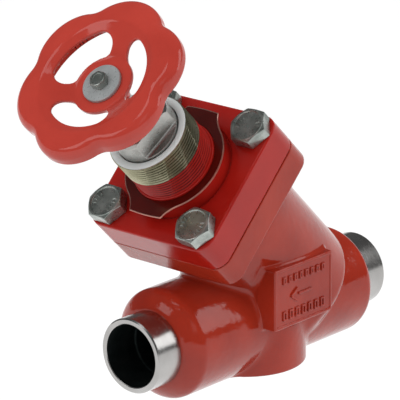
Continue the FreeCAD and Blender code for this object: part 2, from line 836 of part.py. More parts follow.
def spindle():
    foot = value(COLLAR_FOOT)
    thread = "spindle_thread_bore - running_clearance"
    thread_foot = SPIGOT_FOOT + " - spindle_thread_drop - ( " + COLLAR_FOOT + " )"
    thread_top = SPINDLE_THREAD_TOP + " - ( " + COLLAR_FOOT + " )"
    hub = HUB_FOOT + " - ( " + COLLAR_FOOT + " )"
    top = SPINDLE_TOP + " - ( " + COLLAR_FOOT + " )"
    run = "spindle_thread_bore - spindle_radius"
    stem = turned("spindle_stem", [
        ("0", "0"), ("collar_radius", "0"), ("collar_radius", "collar_height"),
        ("spindle_radius", "collar_height"), ("spindle_radius", thread_foot + " - " + run),
        (thread, thread_foot), (thread, thread_top), ("spindle_radius", thread_top + " + " + run),
        ("spindle_radius", hub), ("0", hub)], at_station(foot))
    square = square_block(
        "spindle_square", "square_side", SPINDLE_TOP + " - " + HUB_FOOT + " + 1",
        value(HUB_FOOT) - 1)
    corners = cylinder(
        "spindle_square_round", "square_corner_reach", SPINDLE_TOP + " - " + HUB_FOOT + " + 1",
        at_station(value(HUB_FOOT) - 1))
    drive = shared("spindle_drive", square, corners)
    hole = cylinder(
        "spindle_screw_hole", "screw_hole_radius + screw_hole_clearance", "screw_hole_depth + 1",
        at_station(value(SPINDLE_TOP) - size("screw_hole_depth")))
    return cut("spindle", fused("spindle_blank", [stem, drive]), [hole])


def valve_cone():
    skirt = "cone_skirt_drop"
    disc = skirt + " + cone_disc_height"
    hub_top = NUT_TOP + " - ( " + CONE_FOOT + " )"
    floor = POCKET_FLOOR + " - ( " + CONE_FOOT + " )"
    nut_seat = NUT_FOOT + " - ( " + CONE_FOOT + " )"
    bore = "seal_screw_radius + screw_hole_clearance"
    bore_top = skirt + " + seal_screw_length - seal_disc_thickness"
    edge = "cone_radius - cone_edge_round"
    return turned("valve_cone", [
        ("seal_ring_radius + seal_clearance", "0"), ("cone_radius", "0"),
        ("cone_radius", disc + " - cone_edge_round", "cone_edge_round", -1), (edge, disc),
        ("cone_hub_radius", disc), ("cone_hub_radius", hub_top),
        ("nut_thread_radius", hub_top), ("nut_thread_radius", nut_seat),
        ("pocket_radius", nut_seat), ("pocket_radius", floor), ("0", floor),
        ("0", bore_top), (bore, bore_top), (bore, skirt),
        ("seal_ring_radius + seal_clearance", skirt)], at_station(value(CONE_FOOT)))


def cone_seal_ring():
    return ring(
        "cone_seal_ring", "seal_ring_bore", "seal_ring_radius", "seal_ring_thickness",
        at_station(value(SEAL_FOOT)))


def seal_ring_disc():
    """The disc that clamps the soft seal, with a boss that fills the seal's bore."""
    boss = "seal_ring_bore - seal_clearance"
    bore = "seal_screw_radius + seal_clearance"
    top = "seal_disc_thickness + seal_ring_thickness"
    return turned("seal_ring_disc", [
        (bore, "0"), ("seal_disc_radius - seal_disc_chamfer", "0"), ("seal_disc_radius", "seal_disc_chamfer"),
        ("seal_disc_radius", "seal_disc_thickness"), (boss, "seal_disc_thickness"),
        (boss, top), (bore, top)], at_station(value(SEAL_FOOT) - size("seal_disc_thickness")))


def seal_ring_screw():
    seat = value(SEAL_FOOT) - size("seal_disc_thickness")
    shank = cylinder(
        "seal_screw_shank", "seal_screw_radius", "seal_screw_length + 1", at_station(seat - 1))
    head_place = at_station(seat)
    head_place.Rotation = head_place.Rotation * FreeCAD.Rotation(FreeCAD.Vector(1, 0, 0), 180)
    head = hex_head("seal_screw_head", "seal_screw_flats", "seal_screw_head", head_place)
    return fused("seal_ring_screw", [shank, head])


def cone_thrust_washer():
    return ring(
        "cone_thrust_washer", "thrust_washer_bore", "collar_radius - collar_play",
        "thrust_washer_thickness - collar_play", at_station(value(POCKET_FLOOR)))


def cone_nut():
    """The slotted ring nut that holds the spindle's collar in the cone."""
    blank = ring(
        "cone_nut_blank", "nut_bore_radius", "nut_thread_radius - running_clearance", "nut_height",
        at_station(value(NUT_FOOT)))
    side = size("nut_thread_radius")
    slot = block(
        "cone_nut_slot", "2 * nut_thread_radius", "nut_slot_width", "nut_slot_depth + 1",
        beside_axis(value(NUT_TOP) - size("nut_slot_depth"), -side, -size("nut_slot_width") / 2))
    return cut("cone_nut", blank, [slot])


# Handwheel and its fastening

def lobed_outline():
    """The rim's outline: one arc for each lobe and one for each notch, tangent to each other."""
    count = int(size("lobe_count"))
    lobe = size("lobe_reach")
    notch_centre = size("notch_reach") + size("notch_round")
    cosine = math.cos(math.pi / count)
    # Lobe and notch arcs touch where their centres are as far apart as their radii together.
    gain = 2 * notch_centre * cosine - 2 * lobe - 2 * size("notch_round")
    rest = size("notch_round") ** 2 - lobe ** 2 - notch_centre ** 2 + 2 * lobe * notch_centre * cosine
    radius = rest / gain
    centre = lobe - radius
    edges = []
    for number in range(count):
        middle = 2 * math.pi * number / count
        sides = []
        for hand in (-1, 1):
            notch = middle + hand * math.pi / count
            towards = FreeCAD.Vector(
                notch_centre * math.cos(notch) - centre * math.cos(middle),
                notch_centre * math.sin(notch) - centre * math.sin(middle), 0).normalize()
            sides.append(FreeCAD.Vector(
                centre * math.cos(middle) + radius * towards.x,
                centre * math.sin(middle) + radius * towards.y, 0))
        peak = FreeCAD.Vector(lobe * math.cos(middle), lobe * math.sin(middle), 0)
        edges.append((sides[0], peak, sides[1]))
    arcs = []
    for number, (start, peak, end) in enumerate(edges):
        after = edges[(number + 1) % count][0]
        turn = 2 * math.pi * (number + 0.5) / count
        valley = FreeCAD.Vector(
            size("notch_reach") * math.cos(turn), size("notch_reach") * math.sin(turn), 0)
        arcs.append(Part.Arc(start, peak, end).toShape())
        arcs.append(Part.Arc(end, valley, after).toShape())
    return Part.Wire(arcs)


def station_of(point):
    """How far along the bonnet axis a point lies."""
    return point.sub(FreeCAD.Vector(-size("axis_crossing"), 0, 0)).dot(lean_axis())


def rounded_edges(name, base, radius, chosen):
    """The base with the edges rounded that a test on their points picks."""
    rounded = doc.addObject("Part::Fillet", name)
    rounded.Base = base
    doc.recompute()
    picked = []
    for number, edge in enumerate(base.Shape.Edges, start=1):
        if chosen(edge):
            picked.append((number, size(radius), size(radius)))
    rounded.Edges = picked
    return rounded


def level_edge(edge, station, least_radius):
    """Whether an edge lies at a station all along, and away from the bonnet axis."""
    first, last = edge.ParameterRange
    for part in (0.0, 0.25, 0.5, 0.75, 1.0):
        point = edge.valueAt(first + (last - first) * part)
        height = station_of(point)
        axis_point = FreeCAD.Vector(-size("axis_crossing"), 0, 0) + lean_axis() * height
        if abs(height - station) > 0.01 or point.distanceToPoint(axis_point) < least_radius:
            return False
    return True


def rim_blank():
    """An upright column of the rim's outline, whose upper edge is rounded."""
    column = Part.Face(lobed_outline()).extrude(
        FreeCAD.Vector(0, 0, value(RIM_TOP) - value(HUB_FOOT) + 1))
    blank = doc.addObject("Part::Feature", "wheel_column")
    blank.Shape = column
    blank.Placement = at_station(value(HUB_FOOT) - 1, size("wheel_turn"))
    top = value(RIM_TOP)
    return rounded_edges(
        "wheel_column_round", blank, "rim_upper_round",
        lambda edge: level_edge(edge, top, size("rim_inner_radius")))


def kidney_slot(name, turn):
    """One opening between two spokes, whose ends are parallel to its spokes."""
    depth = "rim_rise + wheel_web_thickness + 2"
    station = size("web_top_station") - size("wheel_web_thickness") - 1
    sector = ring(
        name + "_sector", "slot_inner_radius", "slot_outer_radius", depth, at_station(station))
    step = 360.0 / size("spoke_count")
    half = size("spoke_width") / 2
    keep = []
    for number, (spoke, side) in enumerate(((turn - step / 2, 0), (turn + step / 2, 1)), start=1):
        place = at_station(station - 1, spoke)
        offset = half if side == 0 else -half - 2 * size("slot_outer_radius")
        place.Base = place.multVec(FreeCAD.Vector(0, offset, 0))
        keep.append(block(
            "%s_side_%d" % (name, number), "2 * slot_outer_radius", "2 * slot_outer_radius",
            depth + " + 2", place))
    opening = shared(name + "_square", shared(name + "_open", sector, keep[0]), keep[1])
    rounded = doc.addObject("Part::Fillet", name)
    rounded.Base = opening
    doc.recompute()
    upright = []
    for number, edge in enumerate(opening.Shape.Edges, start=1):
        along = edge.tangentAt(edge.FirstParameter)
        if abs(along.dot(lean_axis())) > 0.99:
            upright.append((number, value(SLOT_CORNER), value(SLOT_CORNER)))
    rounded.Edges = upright
    return rounded


def wheel_section():
    """The turned form of the wheel: hub, dished web and a rim that is hollow below."""
    foot = HUB_FOOT
    web_foot = "web_top_station - wheel_web_thickness - " + foot
    web_top = "web_top_station - " + foot
    rim_foot = RIM_FOOT + " - " + foot
    rim_top = RIM_TOP + " - " + foot
    slope = "(dish_slope * 1 deg)"
    low = "dish_foot_radius + dish_foot_round * sin" + slope
    low_rise = " + dish_foot_round * ( 1 - cos" + slope + ")"
    high = "crest_radius - crest_round * sin" + slope
    high_fall = " - crest_round * ( 1 - cos" + slope + ")"
    reach = "lobe_reach + 1"
    return turned("wheel_section", [
        ("0", "0"), ("hub_radius", "0"), ("hub_radius", web_foot),
        (low, web_foot), (high, rim_top + high_fall + " - wheel_web_thickness"),
        ("rim_inner_radius", rim_top + " - rim_wall"),
        ("rim_inner_radius", rim_foot), (reach, rim_foot), (reach, rim_top + " + 1"),
        ("crest_radius", rim_top + " + 1"), ("crest_radius", rim_top, "crest_round", -1),
        (high, rim_top + high_fall), (low, web_top + low_rise, "dish_foot_round", 1),
        ("dish_foot_radius", web_top), ("0", web_top)], at_station(value(HUB_FOOT)))


def handwheel():
    rim_foot = value(RIM_FOOT)
    square_rim = shared("wheel_rim_square", wheel_section(), rim_blank())
    rim = rounded_edges(
        "wheel_rim", square_rim, "rim_lower_round",
        lambda edge: level_edge(edge, rim_foot, size("rim_inner_radius") + 1))
    square_side = size("square_side") + 2 * size("square_clearance")
    square = block(
        "wheel_square", "square_side + 2 * square_clearance", "square_side + 2 * square_clearance",
        "hub_length + 2",
        beside_axis(value(HUB_FOOT) - 1, -square_side / 2, -square_side / 2))
    step = 360.0 / size("spoke_count")
    slots = [
        kidney_slot("wheel_slot_%d" % (number + 1), size("slot_turn") + (number + 0.5) * step)
        for number in range(int(size("spoke_count")))]
    return cut("handwheel", rim, [square] + slots)


def handwheel_washer():
    return ring(
        "handwheel_washer", "screw_hole_radius + 0.2", "wheel_washer_radius",
        "wheel_washer_thickness", at_station(size("web_top_station")))


def handwheel_screw():
    seat = size("web_top_station") + size("wheel_washer_thickness")
    shank = cylinder(
        "wheel_screw_shank", "screw_hole_radius", "wheel_screw_length + 1",
        at_station(seat - size("wheel_screw_length")))
    head = hex_head(
        "wheel_screw_head", "wheel_screw_flats", "wheel_screw_head",
        at_station(seat, size("wheel_screw_turn")))
    socket = turned("wheel_screw_socket", [
        ("0", "0"), ("wheel_screw_socket_radius", "wheel_screw_socket_depth / 2"),
        ("wheel_screw_socket_radius", "wheel_screw_socket_depth + 1"),
        ("0", "wheel_screw_socket_depth + 1")],
        at_station(seat + size("wheel_screw_head") - size("wheel_screw_socket_depth")))
    return cut("handwheel_screw", fused("wheel_screw_blank", [shank, head]), [socket])


PIECES = [
    valve_body, bonnet, bonnet_gasket, bonnet_bolts, label_plate,
    packing_gland, gland_seal_ring, spindle_seal_rings, wiper_ring,
    packing_support_ring, packing_rings, packing_follower_ring, disc_springs,
    spindle, valve_cone, cone_seal_ring, seal_ring_disc, seal_ring_screw,
    cone_thrust_washer, cone_nut, handwheel, handwheel_washer, handwheel_screw,
]

nodes = []
for make in PIECES:
    node = make()
    node.Label = make.__name__
    nodes.append(node)
doc.recompute()

for item in doc.Objects:
    if "Invalid" in item.State or "Error" in item.State:
        raise RuntimeError("%s did not recompute" % item.Name)
for node in nodes:
    if node.Shape.isNull() or not node.Shape.isValid():
        raise RuntimeError("%s has no valid shape" % node.Label)

os.makedirs("parts", exist_ok=True)
for node in nodes:
    node.Shape.exportStep("parts/%s.step" % node.Label)
    print("%-24s solids %d  volume %10.1f" % (node.Label, len(node.Shape.Solids), node.Shape.Volume))
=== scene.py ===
import math

import bpy
import numpy as np
from mathutils import Matrix, Quaternion, Vector


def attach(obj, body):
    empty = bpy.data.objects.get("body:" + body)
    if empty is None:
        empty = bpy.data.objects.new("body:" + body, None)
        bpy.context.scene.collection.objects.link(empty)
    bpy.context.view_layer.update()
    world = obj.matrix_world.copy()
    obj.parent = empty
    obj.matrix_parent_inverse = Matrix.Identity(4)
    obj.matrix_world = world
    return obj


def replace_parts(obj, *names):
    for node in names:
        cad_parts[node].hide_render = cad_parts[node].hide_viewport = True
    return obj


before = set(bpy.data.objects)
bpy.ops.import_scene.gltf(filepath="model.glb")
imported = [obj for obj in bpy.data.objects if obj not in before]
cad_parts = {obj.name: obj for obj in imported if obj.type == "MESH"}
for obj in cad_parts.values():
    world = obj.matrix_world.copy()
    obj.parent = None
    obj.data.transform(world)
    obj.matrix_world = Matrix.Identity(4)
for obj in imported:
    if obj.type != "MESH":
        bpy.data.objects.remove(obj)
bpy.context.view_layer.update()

MM = 0.001

# Sizes of the part in millimetres, as part.py has them

LENGTH = 155.0
PIPE_R = 16.85
PORT_R = 14.25
PORT_DEPTH = 18.0
PASSAGE_R = 13.6
WELD_END = 14.0
BEVEL = 0.6
BARREL_R = 25.0
SHOULDER_ROUND = 8.6
CROSSING = -44.9
NECK_R = 30.7
NECK_FOOT = 4.5
NECK_FOOT_ROUND = 7.0
CHAMBER_R = 22.0
SEAT_FLOOR = 8.5
SEAT_LIP = 1.5
SEAT_R = 13.0
WEB = 5.5
PAD_R = 27.2
PAD_Z = -21.6
PAD_X = -78.9
PANEL_X = (-97.5, -58.1)
PANEL_Z = (2.5, 30.6)
PANEL_FACE = 33.0
FLANGE_HALF = 34.4
FLANGE_CORNER = 7.5
BODY_FLANGE = (77.6, 90.9)
BONNET_FLANGE = (91.3, 107.3)
BOLT_SPACING = 50.6
BOLT_R = 5.0
HEAD_FLATS = 16.0
HEAD_HEIGHT = 6.4
SHOULDER_R = 23.5
SHOULDER_TOP = 114.0
ROOT_R = 19.6
ROOT_TOP = 115.6
THREAD_R = 18.75
NECK_TOP = 138.2
NECK_BORE = 14.9
GLAND_R = 14.6
GLAND_TOP = 149.0
WHEEL_TURN = math.radians(2.0)


# Camera, fitted to the photograph

AZIMUTH = math.radians(-48.46)
ELEVATION = math.radians(17.88)
ROLL = math.radians(-0.35)
TARGET = Vector((-0.10917, 0.0, 0.05951))
DISTANCE = 1.410
LENS = 291.5


def add_camera():
    """The camera looks back along its own Z, from the fitted distance to the target."""
    back = Vector((
        math.sin(AZIMUTH) * math.cos(ELEVATION),
        -math.cos(AZIMUTH) * math.cos(ELEVATION),
        math.sin(ELEVATION)))
    level = Vector((math.cos(AZIMUTH), math.sin(AZIMUTH), 0.0))
    rise = back.cross(level)
    right = level * math.cos(ROLL) + rise * math.sin(ROLL)
    up = rise * math.cos(ROLL) - level * math.sin(ROLL)
    data = bpy.data.cameras.new("camera")
    data.sensor_width = 36.0
    data.lens = LENS
    data.clip_end = 50.0
    camera = bpy.data.objects.new("camera", data)
    turn = Matrix((right, up, back)).transposed()
    camera.matrix_world = Matrix.Translation(TARGET + back * DISTANCE) @ turn.to_4x4()
    bpy.context.scene.collection.objects.link(camera)
    bpy.context.scene.camera = camera


# Shapes as distance fields: each takes arrays of points in millimetres and gives the distance to
# the surface, negative inside

def join(first, second, fillet=0.0):
    """Union of two fields, with a round fillet in the corner between them."""
    if fillet <= 0:
        return np.minimum(first, second)
    near = np.maximum(fillet - first, 0)
    far = np.maximum(fillet - second, 0)
    return np.maximum(fillet, np.minimum(first, second)) - np.hypot(near, far)


def keep(first, second, rounding=0.0):
    """What two fields have in common, with a rounded edge where they meet."""
    if rounding <= 0:
        return np.maximum(first, second)
    near = np.maximum(rounding + first, 0)
    far = np.maximum(rounding + second, 0)
    return np.minimum(-rounding, np.maximum(first, second)) + np.hypot(near, far)


def carve(first, second, rounding=0.0):
    """The first field without the second."""
    return keep(first, -second, rounding)


def rod(radial, along, radius, foot, top, rounding=0.0):
    """A cylinder from its radial distance and its height, with rounded rims."""
    side = radial - radius + rounding
    end = np.abs(along - (foot + top) / 2) - (top - foot) / 2 + rounding
    outside = np.hypot(np.maximum(side, 0), np.maximum(end, 0))
    return outside + np.minimum(np.maximum(side, end), 0) - rounding


def brick(offsets, halves, rounding=0.0):
    """A box from the offsets to its centre along its three axes."""
    beyond = [np.abs(d) - h + rounding for d, h in zip(offsets, halves)]
    outside = np.sqrt(sum(np.maximum(b, 0) ** 2 for b in beyond))
    return outside + np.minimum(np.maximum(np.maximum(*beyond[:2]), beyond[2]), 0) - rounding


def rounded_square(across, depth, half, corner):
    """The flat distance to a square with rounded corners."""
    first = np.abs(across) - half + corner
    second = np.abs(depth) - half + corner
    outside = np.hypot(np.maximum(first, 0), np.maximum(second, 0))
    return outside + np.minimum(np.maximum(first, second), 0) - corner


def hexagon(across, depth, flats):
    """The flat distance to the planes of a hexagon, by its size across flats."""
    first = np.abs(depth)
    second = np.abs(across) * math.cos(math.pi / 6) + np.abs(depth) * 0.5
    return np.maximum(first, second) - flats / 2


def corner_cone(radial, along, radius, top):
    """The cone that takes the corners off a hexagon, as wide as the radius at the top."""
    return (radial - radius) * 0.5 + (along - top) * 0.866


# Frames of reference

def leaning(x, y, z):
    """Part coordinates to (up the slope, across, station) about the bonnet axis."""
    root = math.sqrt(0.5)
    return (x - CROSSING) * root + z * root, y, z * root - (x - CROSSING) * root


def lean_matrix(station=0.0, across=0.0, depth=0.0, turn=0.0):
    """The matrix that sets a piece drawn about its own Z, in metres, on the bonnet axis."""
    tilt = Matrix.Rotation(-math.pi / 4, 4, "Y")
    axis = Matrix.Translation((CROSSING * MM, 0, 0)) @ tilt
    place = Matrix.Translation((across * MM, depth * MM, station * MM))
    return axis @ place @ Matrix.Rotation(turn, 4, "Z")


# From a field to a mesh. BLOCK_REACH is half the diagonal of a block of cells, with a margin

BLOCK = 4
BLOCK_REACH = 0.866 * 1.5
CHUNK = 20000
TINY = 1e-9
SETTLING_STEPS = 3


def sample(field, low, counts, cell):
    """The field at every grid node. Blocks far from the surface take the value at their centre."""
    blocks = [-(-n // BLOCK) for n in counts]
    centres = [low[i] + cell * (np.arange(blocks[i]) * BLOCK + (BLOCK - 1) / 2) for i in range(3)]
    coarse = field(*np.meshgrid(*centres, indexing="ij")).astype(np.float32)
    values = np.repeat(np.repeat(np.repeat(coarse, BLOCK, 0), BLOCK, 1), BLOCK, 2)
    near = np.argwhere(np.abs(coarse) < cell * BLOCK * BLOCK_REACH)
    step = np.arange(BLOCK)
    for start in range(0, len(near), CHUNK):
        corner = near[start:start + CHUNK] * BLOCK
        ix = corner[:, 0][:, None, None, None] + step[None, :, None, None]
        iy = corner[:, 1][:, None, None, None] + step[None, None, :, None]
        iz = corner[:, 2][:, None, None, None] + step[None, None, None, :]
        fine = field(low[0] + cell * ix, low[1] + cell * iy, low[2] + cell * iz)
        places = tuple(np.broadcast_to(i, fine.shape) for i in (ix, iy, iz))
        values[places] = fine
    return values


def slope_of(field, points, reach):
    """The field's gradient at some points."""
    columns = [points[:, i] for i in range(3)]
    slope = np.empty_like(points)
    for axis in range(3):
        ahead = [c + reach if i == axis else c for i, c in enumerate(columns)]
        behind = [c - reach if i == axis else c for i, c in enumerate(columns)]
        slope[:, axis] = (field(*ahead) - field(*behind)) / (2 * reach)
    return slope


def unit_slope(field, points, reach):
    """The direction in which the field rises at some points."""
    slope = slope_of(field, points, reach)
    return slope / np.maximum(np.linalg.norm(slope, axis=1), TINY)[:, None]


def edge_ends(values, axis):
    """The values at the two ends of every grid edge along an axis."""
    behind = [slice(None)] * 3
    behind[axis] = slice(None, -1)
    ahead = [slice(None)] * 3
    ahead[axis] = slice(1, None)
    return values[tuple(behind)], values[tuple(ahead)]


def cells_beside(edges, axes, back):
    """The cell at one side of each grid edge, some steps back along the two axes across it."""
    cells = edges.copy()
    for axis, steps in zip(axes, back):
        cells[:, axis] -= steps
    return cells


def cell_points(values):
    """The mean place where the surface crosses each cell's edges, and which cells it crosses."""
    limits = np.array(values.shape) - 1
    total = np.zeros(tuple(limits) + (3,), np.float32)
    hits = np.zeros(tuple(limits), np.int16)
    for axis in range(3):
        first, second = edge_ends(values, axis)
        crossed = (first < 0) != (second < 0)
        edges = np.argwhere(crossed)
        gap = first[crossed] - second[crossed]
        place = edges.astype(np.float32)
        place[:, axis] += first[crossed] / np.where(np.abs(gap) < TINY, TINY, gap)
        axes = [i for i in range(3) if i != axis]
        for back in ((0, 0), (0, 1), (1, 0), (1, 1)):
            cells = cells_beside(edges, axes, back)
            good = np.all((cells >= 0) & (cells < limits), axis=1)
            key = tuple(cells[good].T)
            np.add.at(total, key, place[good])
            np.add.at(hits, key, 1)
    used = hits > 0
    return total[used] / hits[used][:, None], used


def cell_quads(inside, number):
    """A quad round every grid edge that the surface crosses, from the numbers of its four cells."""
    quads = []
    for axis in range(3):
        first, second = edge_ends(inside, axis)
        edges = np.argwhere(first != second)
        axes = [(axis + 1) % 3, (axis + 2) % 3]
        for other in axes:
            good = (edges[:, other] > 0) & (edges[:, other] < inside.shape[other] - 1)
            edges = edges[good]
        corners = [cells_beside(edges, axes, back) for back in ((1, 1), (0, 1), (0, 0), (1, 0))]
        ring = np.stack([number[tuple(cells.T)] for cells in corners], 1)
        turned = ~first[tuple(edges.T)]
        ring[turned] = ring[turned][:, ::-1]
        quads.append(ring)
    return np.concatenate(quads)


def settle(field, points, cell):
    """Move points onto the surface in short steps along the field's slope."""
    for _ in range(SETTLING_STEPS):
        distance = field(*points.T)
        slope = slope_of(field, points, cell * 0.1)
        steep = np.maximum((slope ** 2).sum(1), 0.25)
        move = slope * (distance / steep)[:, None]
        length = np.linalg.norm(move, axis=1)
        move *= np.minimum(1.0, cell * 0.6 / np.maximum(length, TINY))[:, None]
        points = points - move
    return points


def skin(field, low, high, cell):
    """Vertices and quads of the surface where the field is zero, by surface nets."""
    low = np.array(low, float) - 2 * cell
    counts = [int(math.ceil((high[i] + 2 * cell - low[i]) / cell)) for i in range(3)]
    values = sample(field, low, counts, cell)
    means, used = cell_points(values)
    number = np.full(used.shape, -1, np.int64)
    number[used] = np.arange(used.sum())
    return settle(field, means * cell + low, cell), cell_quads(values < 0, number)


def mesh_object(name, points, faces, material, matrix=None):
    """A smooth Blender object from points in millimetres."""
    mesh = bpy.data.meshes.new(name)
    rows = faces.tolist() if isinstance(faces, np.ndarray) else faces
    mesh.from_pydata((points * MM).tolist(), [], rows)
    if matrix is not None:
        mesh.transform(matrix)
    mesh.polygons.foreach_set("use_smooth", [True] * len(mesh.polygons))
    obj = bpy.data.objects.new(name, mesh)
    bpy.context.scene.collection.objects.link(obj)
    mesh.materials.append(material)
    return obj


def shade_by_slope(obj, slope, matrix=None):
    """Take the field's slope at each vertex as the vertex's normal."""
    if matrix is not None:
        slope = slope @ np.array(matrix.to_3x3().normalized()).T
    obj.data.normals_split_custom_set_from_vertices(slope.tolist())


def shade_by_angle(obj, degrees):
    """Keep edges sharp where the surface turns by more than an angle."""
    obj.data.set_sharp_from_angle(angle=math.radians(degrees))


def field_object(name, field, low, high, cell, material, matrix=None):
    """An object with the surface of a field, shaded by the field's own slope."""
    points, quads = skin(field, low, high, cell)
    obj = mesh_object(name, points, quads, material, matrix)
    shade_by_slope(obj, unit_slope(field, points, cell * 0.35), matrix)
    return obj


# Rings of points about Z, and the quads between them

def circle(steps):
    """Angles round a circle."""
    return np.linspace(0, 2 * math.pi, steps, endpoint=False)


def ring_points(angles, radius, height):
    """Points at some angles, where the radius may differ from one to the next."""
    heights = np.full(len(angles), height)
    return np.stack([radius * np.cos(angles), radius * np.sin(angles), heights], 1)


def ring_quads(first, second, steps):
    """Quads between two rings, which are given by the number of their first point."""
    k = np.arange(steps)
    m = (k + 1) % steps
    return np.stack([first + k, first + m, second + m, second + k], 1)


def closed_quads(rings, steps):
    """For each ring of a closed outline, the quads from it to the next one."""
    return [ring_quads(i * steps, (i + 1) % rings * steps, steps) for i in range(rings)]


def turned_object(name, outline, material, matrix, steps):
    """A surface turned about Z from a closed outline of (radius, height), with crisp edges."""
    angles = circle(steps)
    points = np.concatenate([ring_points(angles, radius, height) for radius, height in outline])
    faces = np.concatenate(closed_quads(len(outline), steps))
    obj = mesh_object(name, points, faces, material, matrix)
    shade_by_angle(obj, 28)
    return obj


# Materials, whose texture scales are in waves for each metre and whose bumps are in metres

PAINT_SPECULAR = 0.4


def shader_of(material):
    return material.node_tree.nodes["Principled BSDF"]


def new_material(name, color, metallic=0.0, roughness=0.5):
    material = bpy.data.materials.new(name)
    material.use_nodes = True
    shader = shader_of(material)
    shader.inputs["Base Color"].default_value = (*color, 1)
    shader.inputs["Metallic"].default_value = metallic
    shader.inputs["Roughness"].default_value = roughness
    return material


def add_node(material, kind, **inputs):
    """A node with some of its inputs set, where an underscore stands for a space."""
    made = material.node_tree.nodes.new(kind)
    for name, value in inputs.items():
        made.inputs[name.replace("_", " ")].default_value = value
    return made


def noise(material, scale, detail=3.0, roughness=0.5, stretch=None):
    """A noise texture in the part's own coordinates, whose waves may be closer along some axes."""
    links = material.node_tree.links
    place = add_node(material, "ShaderNodeTexCoord").outputs["Object"]
    texture = add_node(
        material, "ShaderNodeTexNoise", Scale=scale, Detail=detail, Roughness=roughness)
    if stretch:
        mapping = add_node(material, "ShaderNodeMapping", Scale=stretch)
        links.new(place, mapping.inputs["Vector"])
        place = mapping.outputs["Vector"]
    links.new(place, texture.inputs["Vector"])
    return texture


def vary_color(material, texture, low, high, first=0.3, last=0.7):
    """Let the base colour run between two colours with a texture."""
    ramp = add_node(material, "ShaderNodeValToRGB")
    for element, position, color in zip(ramp.color_ramp.elements, (first, last), (low, high)):
        element.position = position
        element.color = (*color, 1)
    links = material.node_tree.links
    links.new(texture.outputs["Fac"], ramp.inputs["Fac"])
    links.new(ramp.outputs["Color"], shader_of(material).inputs["Base Color"])


def vary_roughness(material, texture, low, high):
    """Let the roughness run between two values with a texture."""
    span = add_node(
        material, "ShaderNodeMapRange", From_Min=0.3, From_Max=0.7, To_Min=low, To_Max=high)
    links = material.node_tree.links
    links.new(texture.outputs["Fac"], span.inputs["Value"])
    links.new(span.outputs["Result"], shader_of(material).inputs["Roughness"])


def add_bump(material, texture, distance):
    """Bump of some height, on top of any bump made before."""
    normal = shader_of(material).inputs["Normal"]
    bump = add_node(material, "ShaderNodeBump", Strength=1.0, Distance=distance)
    links = material.node_tree.links
    if normal.links:
        links.new(normal.links[0].from_socket, bump.inputs["Normal"])
    links.new(texture.outputs["Fac"], bump.inputs["Height"])
    links.new(bump.outputs["Normal"], normal)


def paint(name, low, high, wave=0.00012, grain=0.000012, roughness=(0.06, 0.12)):
    """Gloss paint over a casting, with slow waves and a fine orange peel."""
    material = new_material(name, high, roughness=roughness[0])
    shader_of(material).inputs["Specular IOR Level"].default_value = PAINT_SPECULAR
    vary_color(material, noise(material, 45.0, 4.0), low, high)
    vary_roughness(material, noise(material, 120.0), *roughness)
    if wave:
        add_bump(material, noise(material, 130.0, 2.0), wave)
        add_bump(material, noise(material, 330.0, 2.0), wave * 0.9)
    add_bump(material, noise(material, 1100.0, 2.0), grain)
    return material


def metal(name, low, high, roughness=(0.25, 0.4), scale=160.0, grain=0.000006, stretch=None):
    """Bright metal with patches of two colours and a fine grain."""
    material = new_material(name, high, metallic=1.0, roughness=roughness[0])
    vary_color(material, noise(material, scale, 4.0), low, high)
    fine = noise(material, 900.0, 3.0, 0.6, stretch)
    vary_roughness(material, fine, *roughness)
    add_bump(material, fine, grain)
    return material


def dull_metal(name, low, high, metallic, roughness=(0.4, 0.5)):
    """Bare metal that is too matt to mirror what stands round it."""
    material = new_material(name, high, metallic=metallic, roughness=roughness[0])
    vary_color(material, noise(material, 150.0, 4.0), low, high)
    vary_roughness(material, noise(material, 700.0, 2.0), *roughness)
    add_bump(material, noise(material, 900.0), 0.000001)
    return material


def soft(name, low, high, roughness=(0.5, 0.7)):
    """Rubber, plastic or fibre."""
    material = new_material(name, high, roughness=roughness[0])
    vary_color(material, noise(material, 300.0), low, high, 0.35, 0.65)
    vary_roughness(material, noise(material, 700.0, 2.0), *roughness)
    add_bump(material, noise(material, 1500.0), 0.00001)
    return material


CAST_RED = paint("cast_red", (0.28, 0.019, 0.008), (0.375, 0.03, 0.013))
BONNET_RED = paint(
    "bonnet_red", (0.32, 0.008, 0.005), (0.4, 0.012, 0.007),
    wave=0.00004, grain=0.000006, roughness=(0.14, 0.22))
WHEEL_RED = paint(
    "wheel_red", (0.42, 0.041, 0.028), (0.49, 0.051, 0.035),
    wave=0.00003, grain=0.000004, roughness=(0.04, 0.09))
# Near-black copy of the bonnet red for the thread roots: painted shade in the grooves
SHADED_ROOT_RED = paint(
    "thread_root_red_painted_shade", (0.09, 0.004, 0.003), (0.13, 0.006, 0.004), wave=0.0, grain=0.000006)
LABEL_RED = paint(
    "label_red", (0.05, 0.003, 0.002), (0.085, 0.005, 0.003),
    wave=0.0, grain=0.000003, roughness=(0.12, 0.2))
# Pale pink metal for the label plate's rim: a painted highlight along its edge
LABEL_EDGE_HIGHLIGHT = metal("label_edge_painted_highlight", (0.7, 0.36, 0.3), (0.8, 0.5, 0.42), (0.3, 0.4))
MACHINED = metal(
    "machined_steel", (0.4, 0.39, 0.38), (0.49, 0.48, 0.47), (0.16, 0.28),
    scale=60.0, grain=0.000002, stretch=(6.0, 0.3, 0.3))
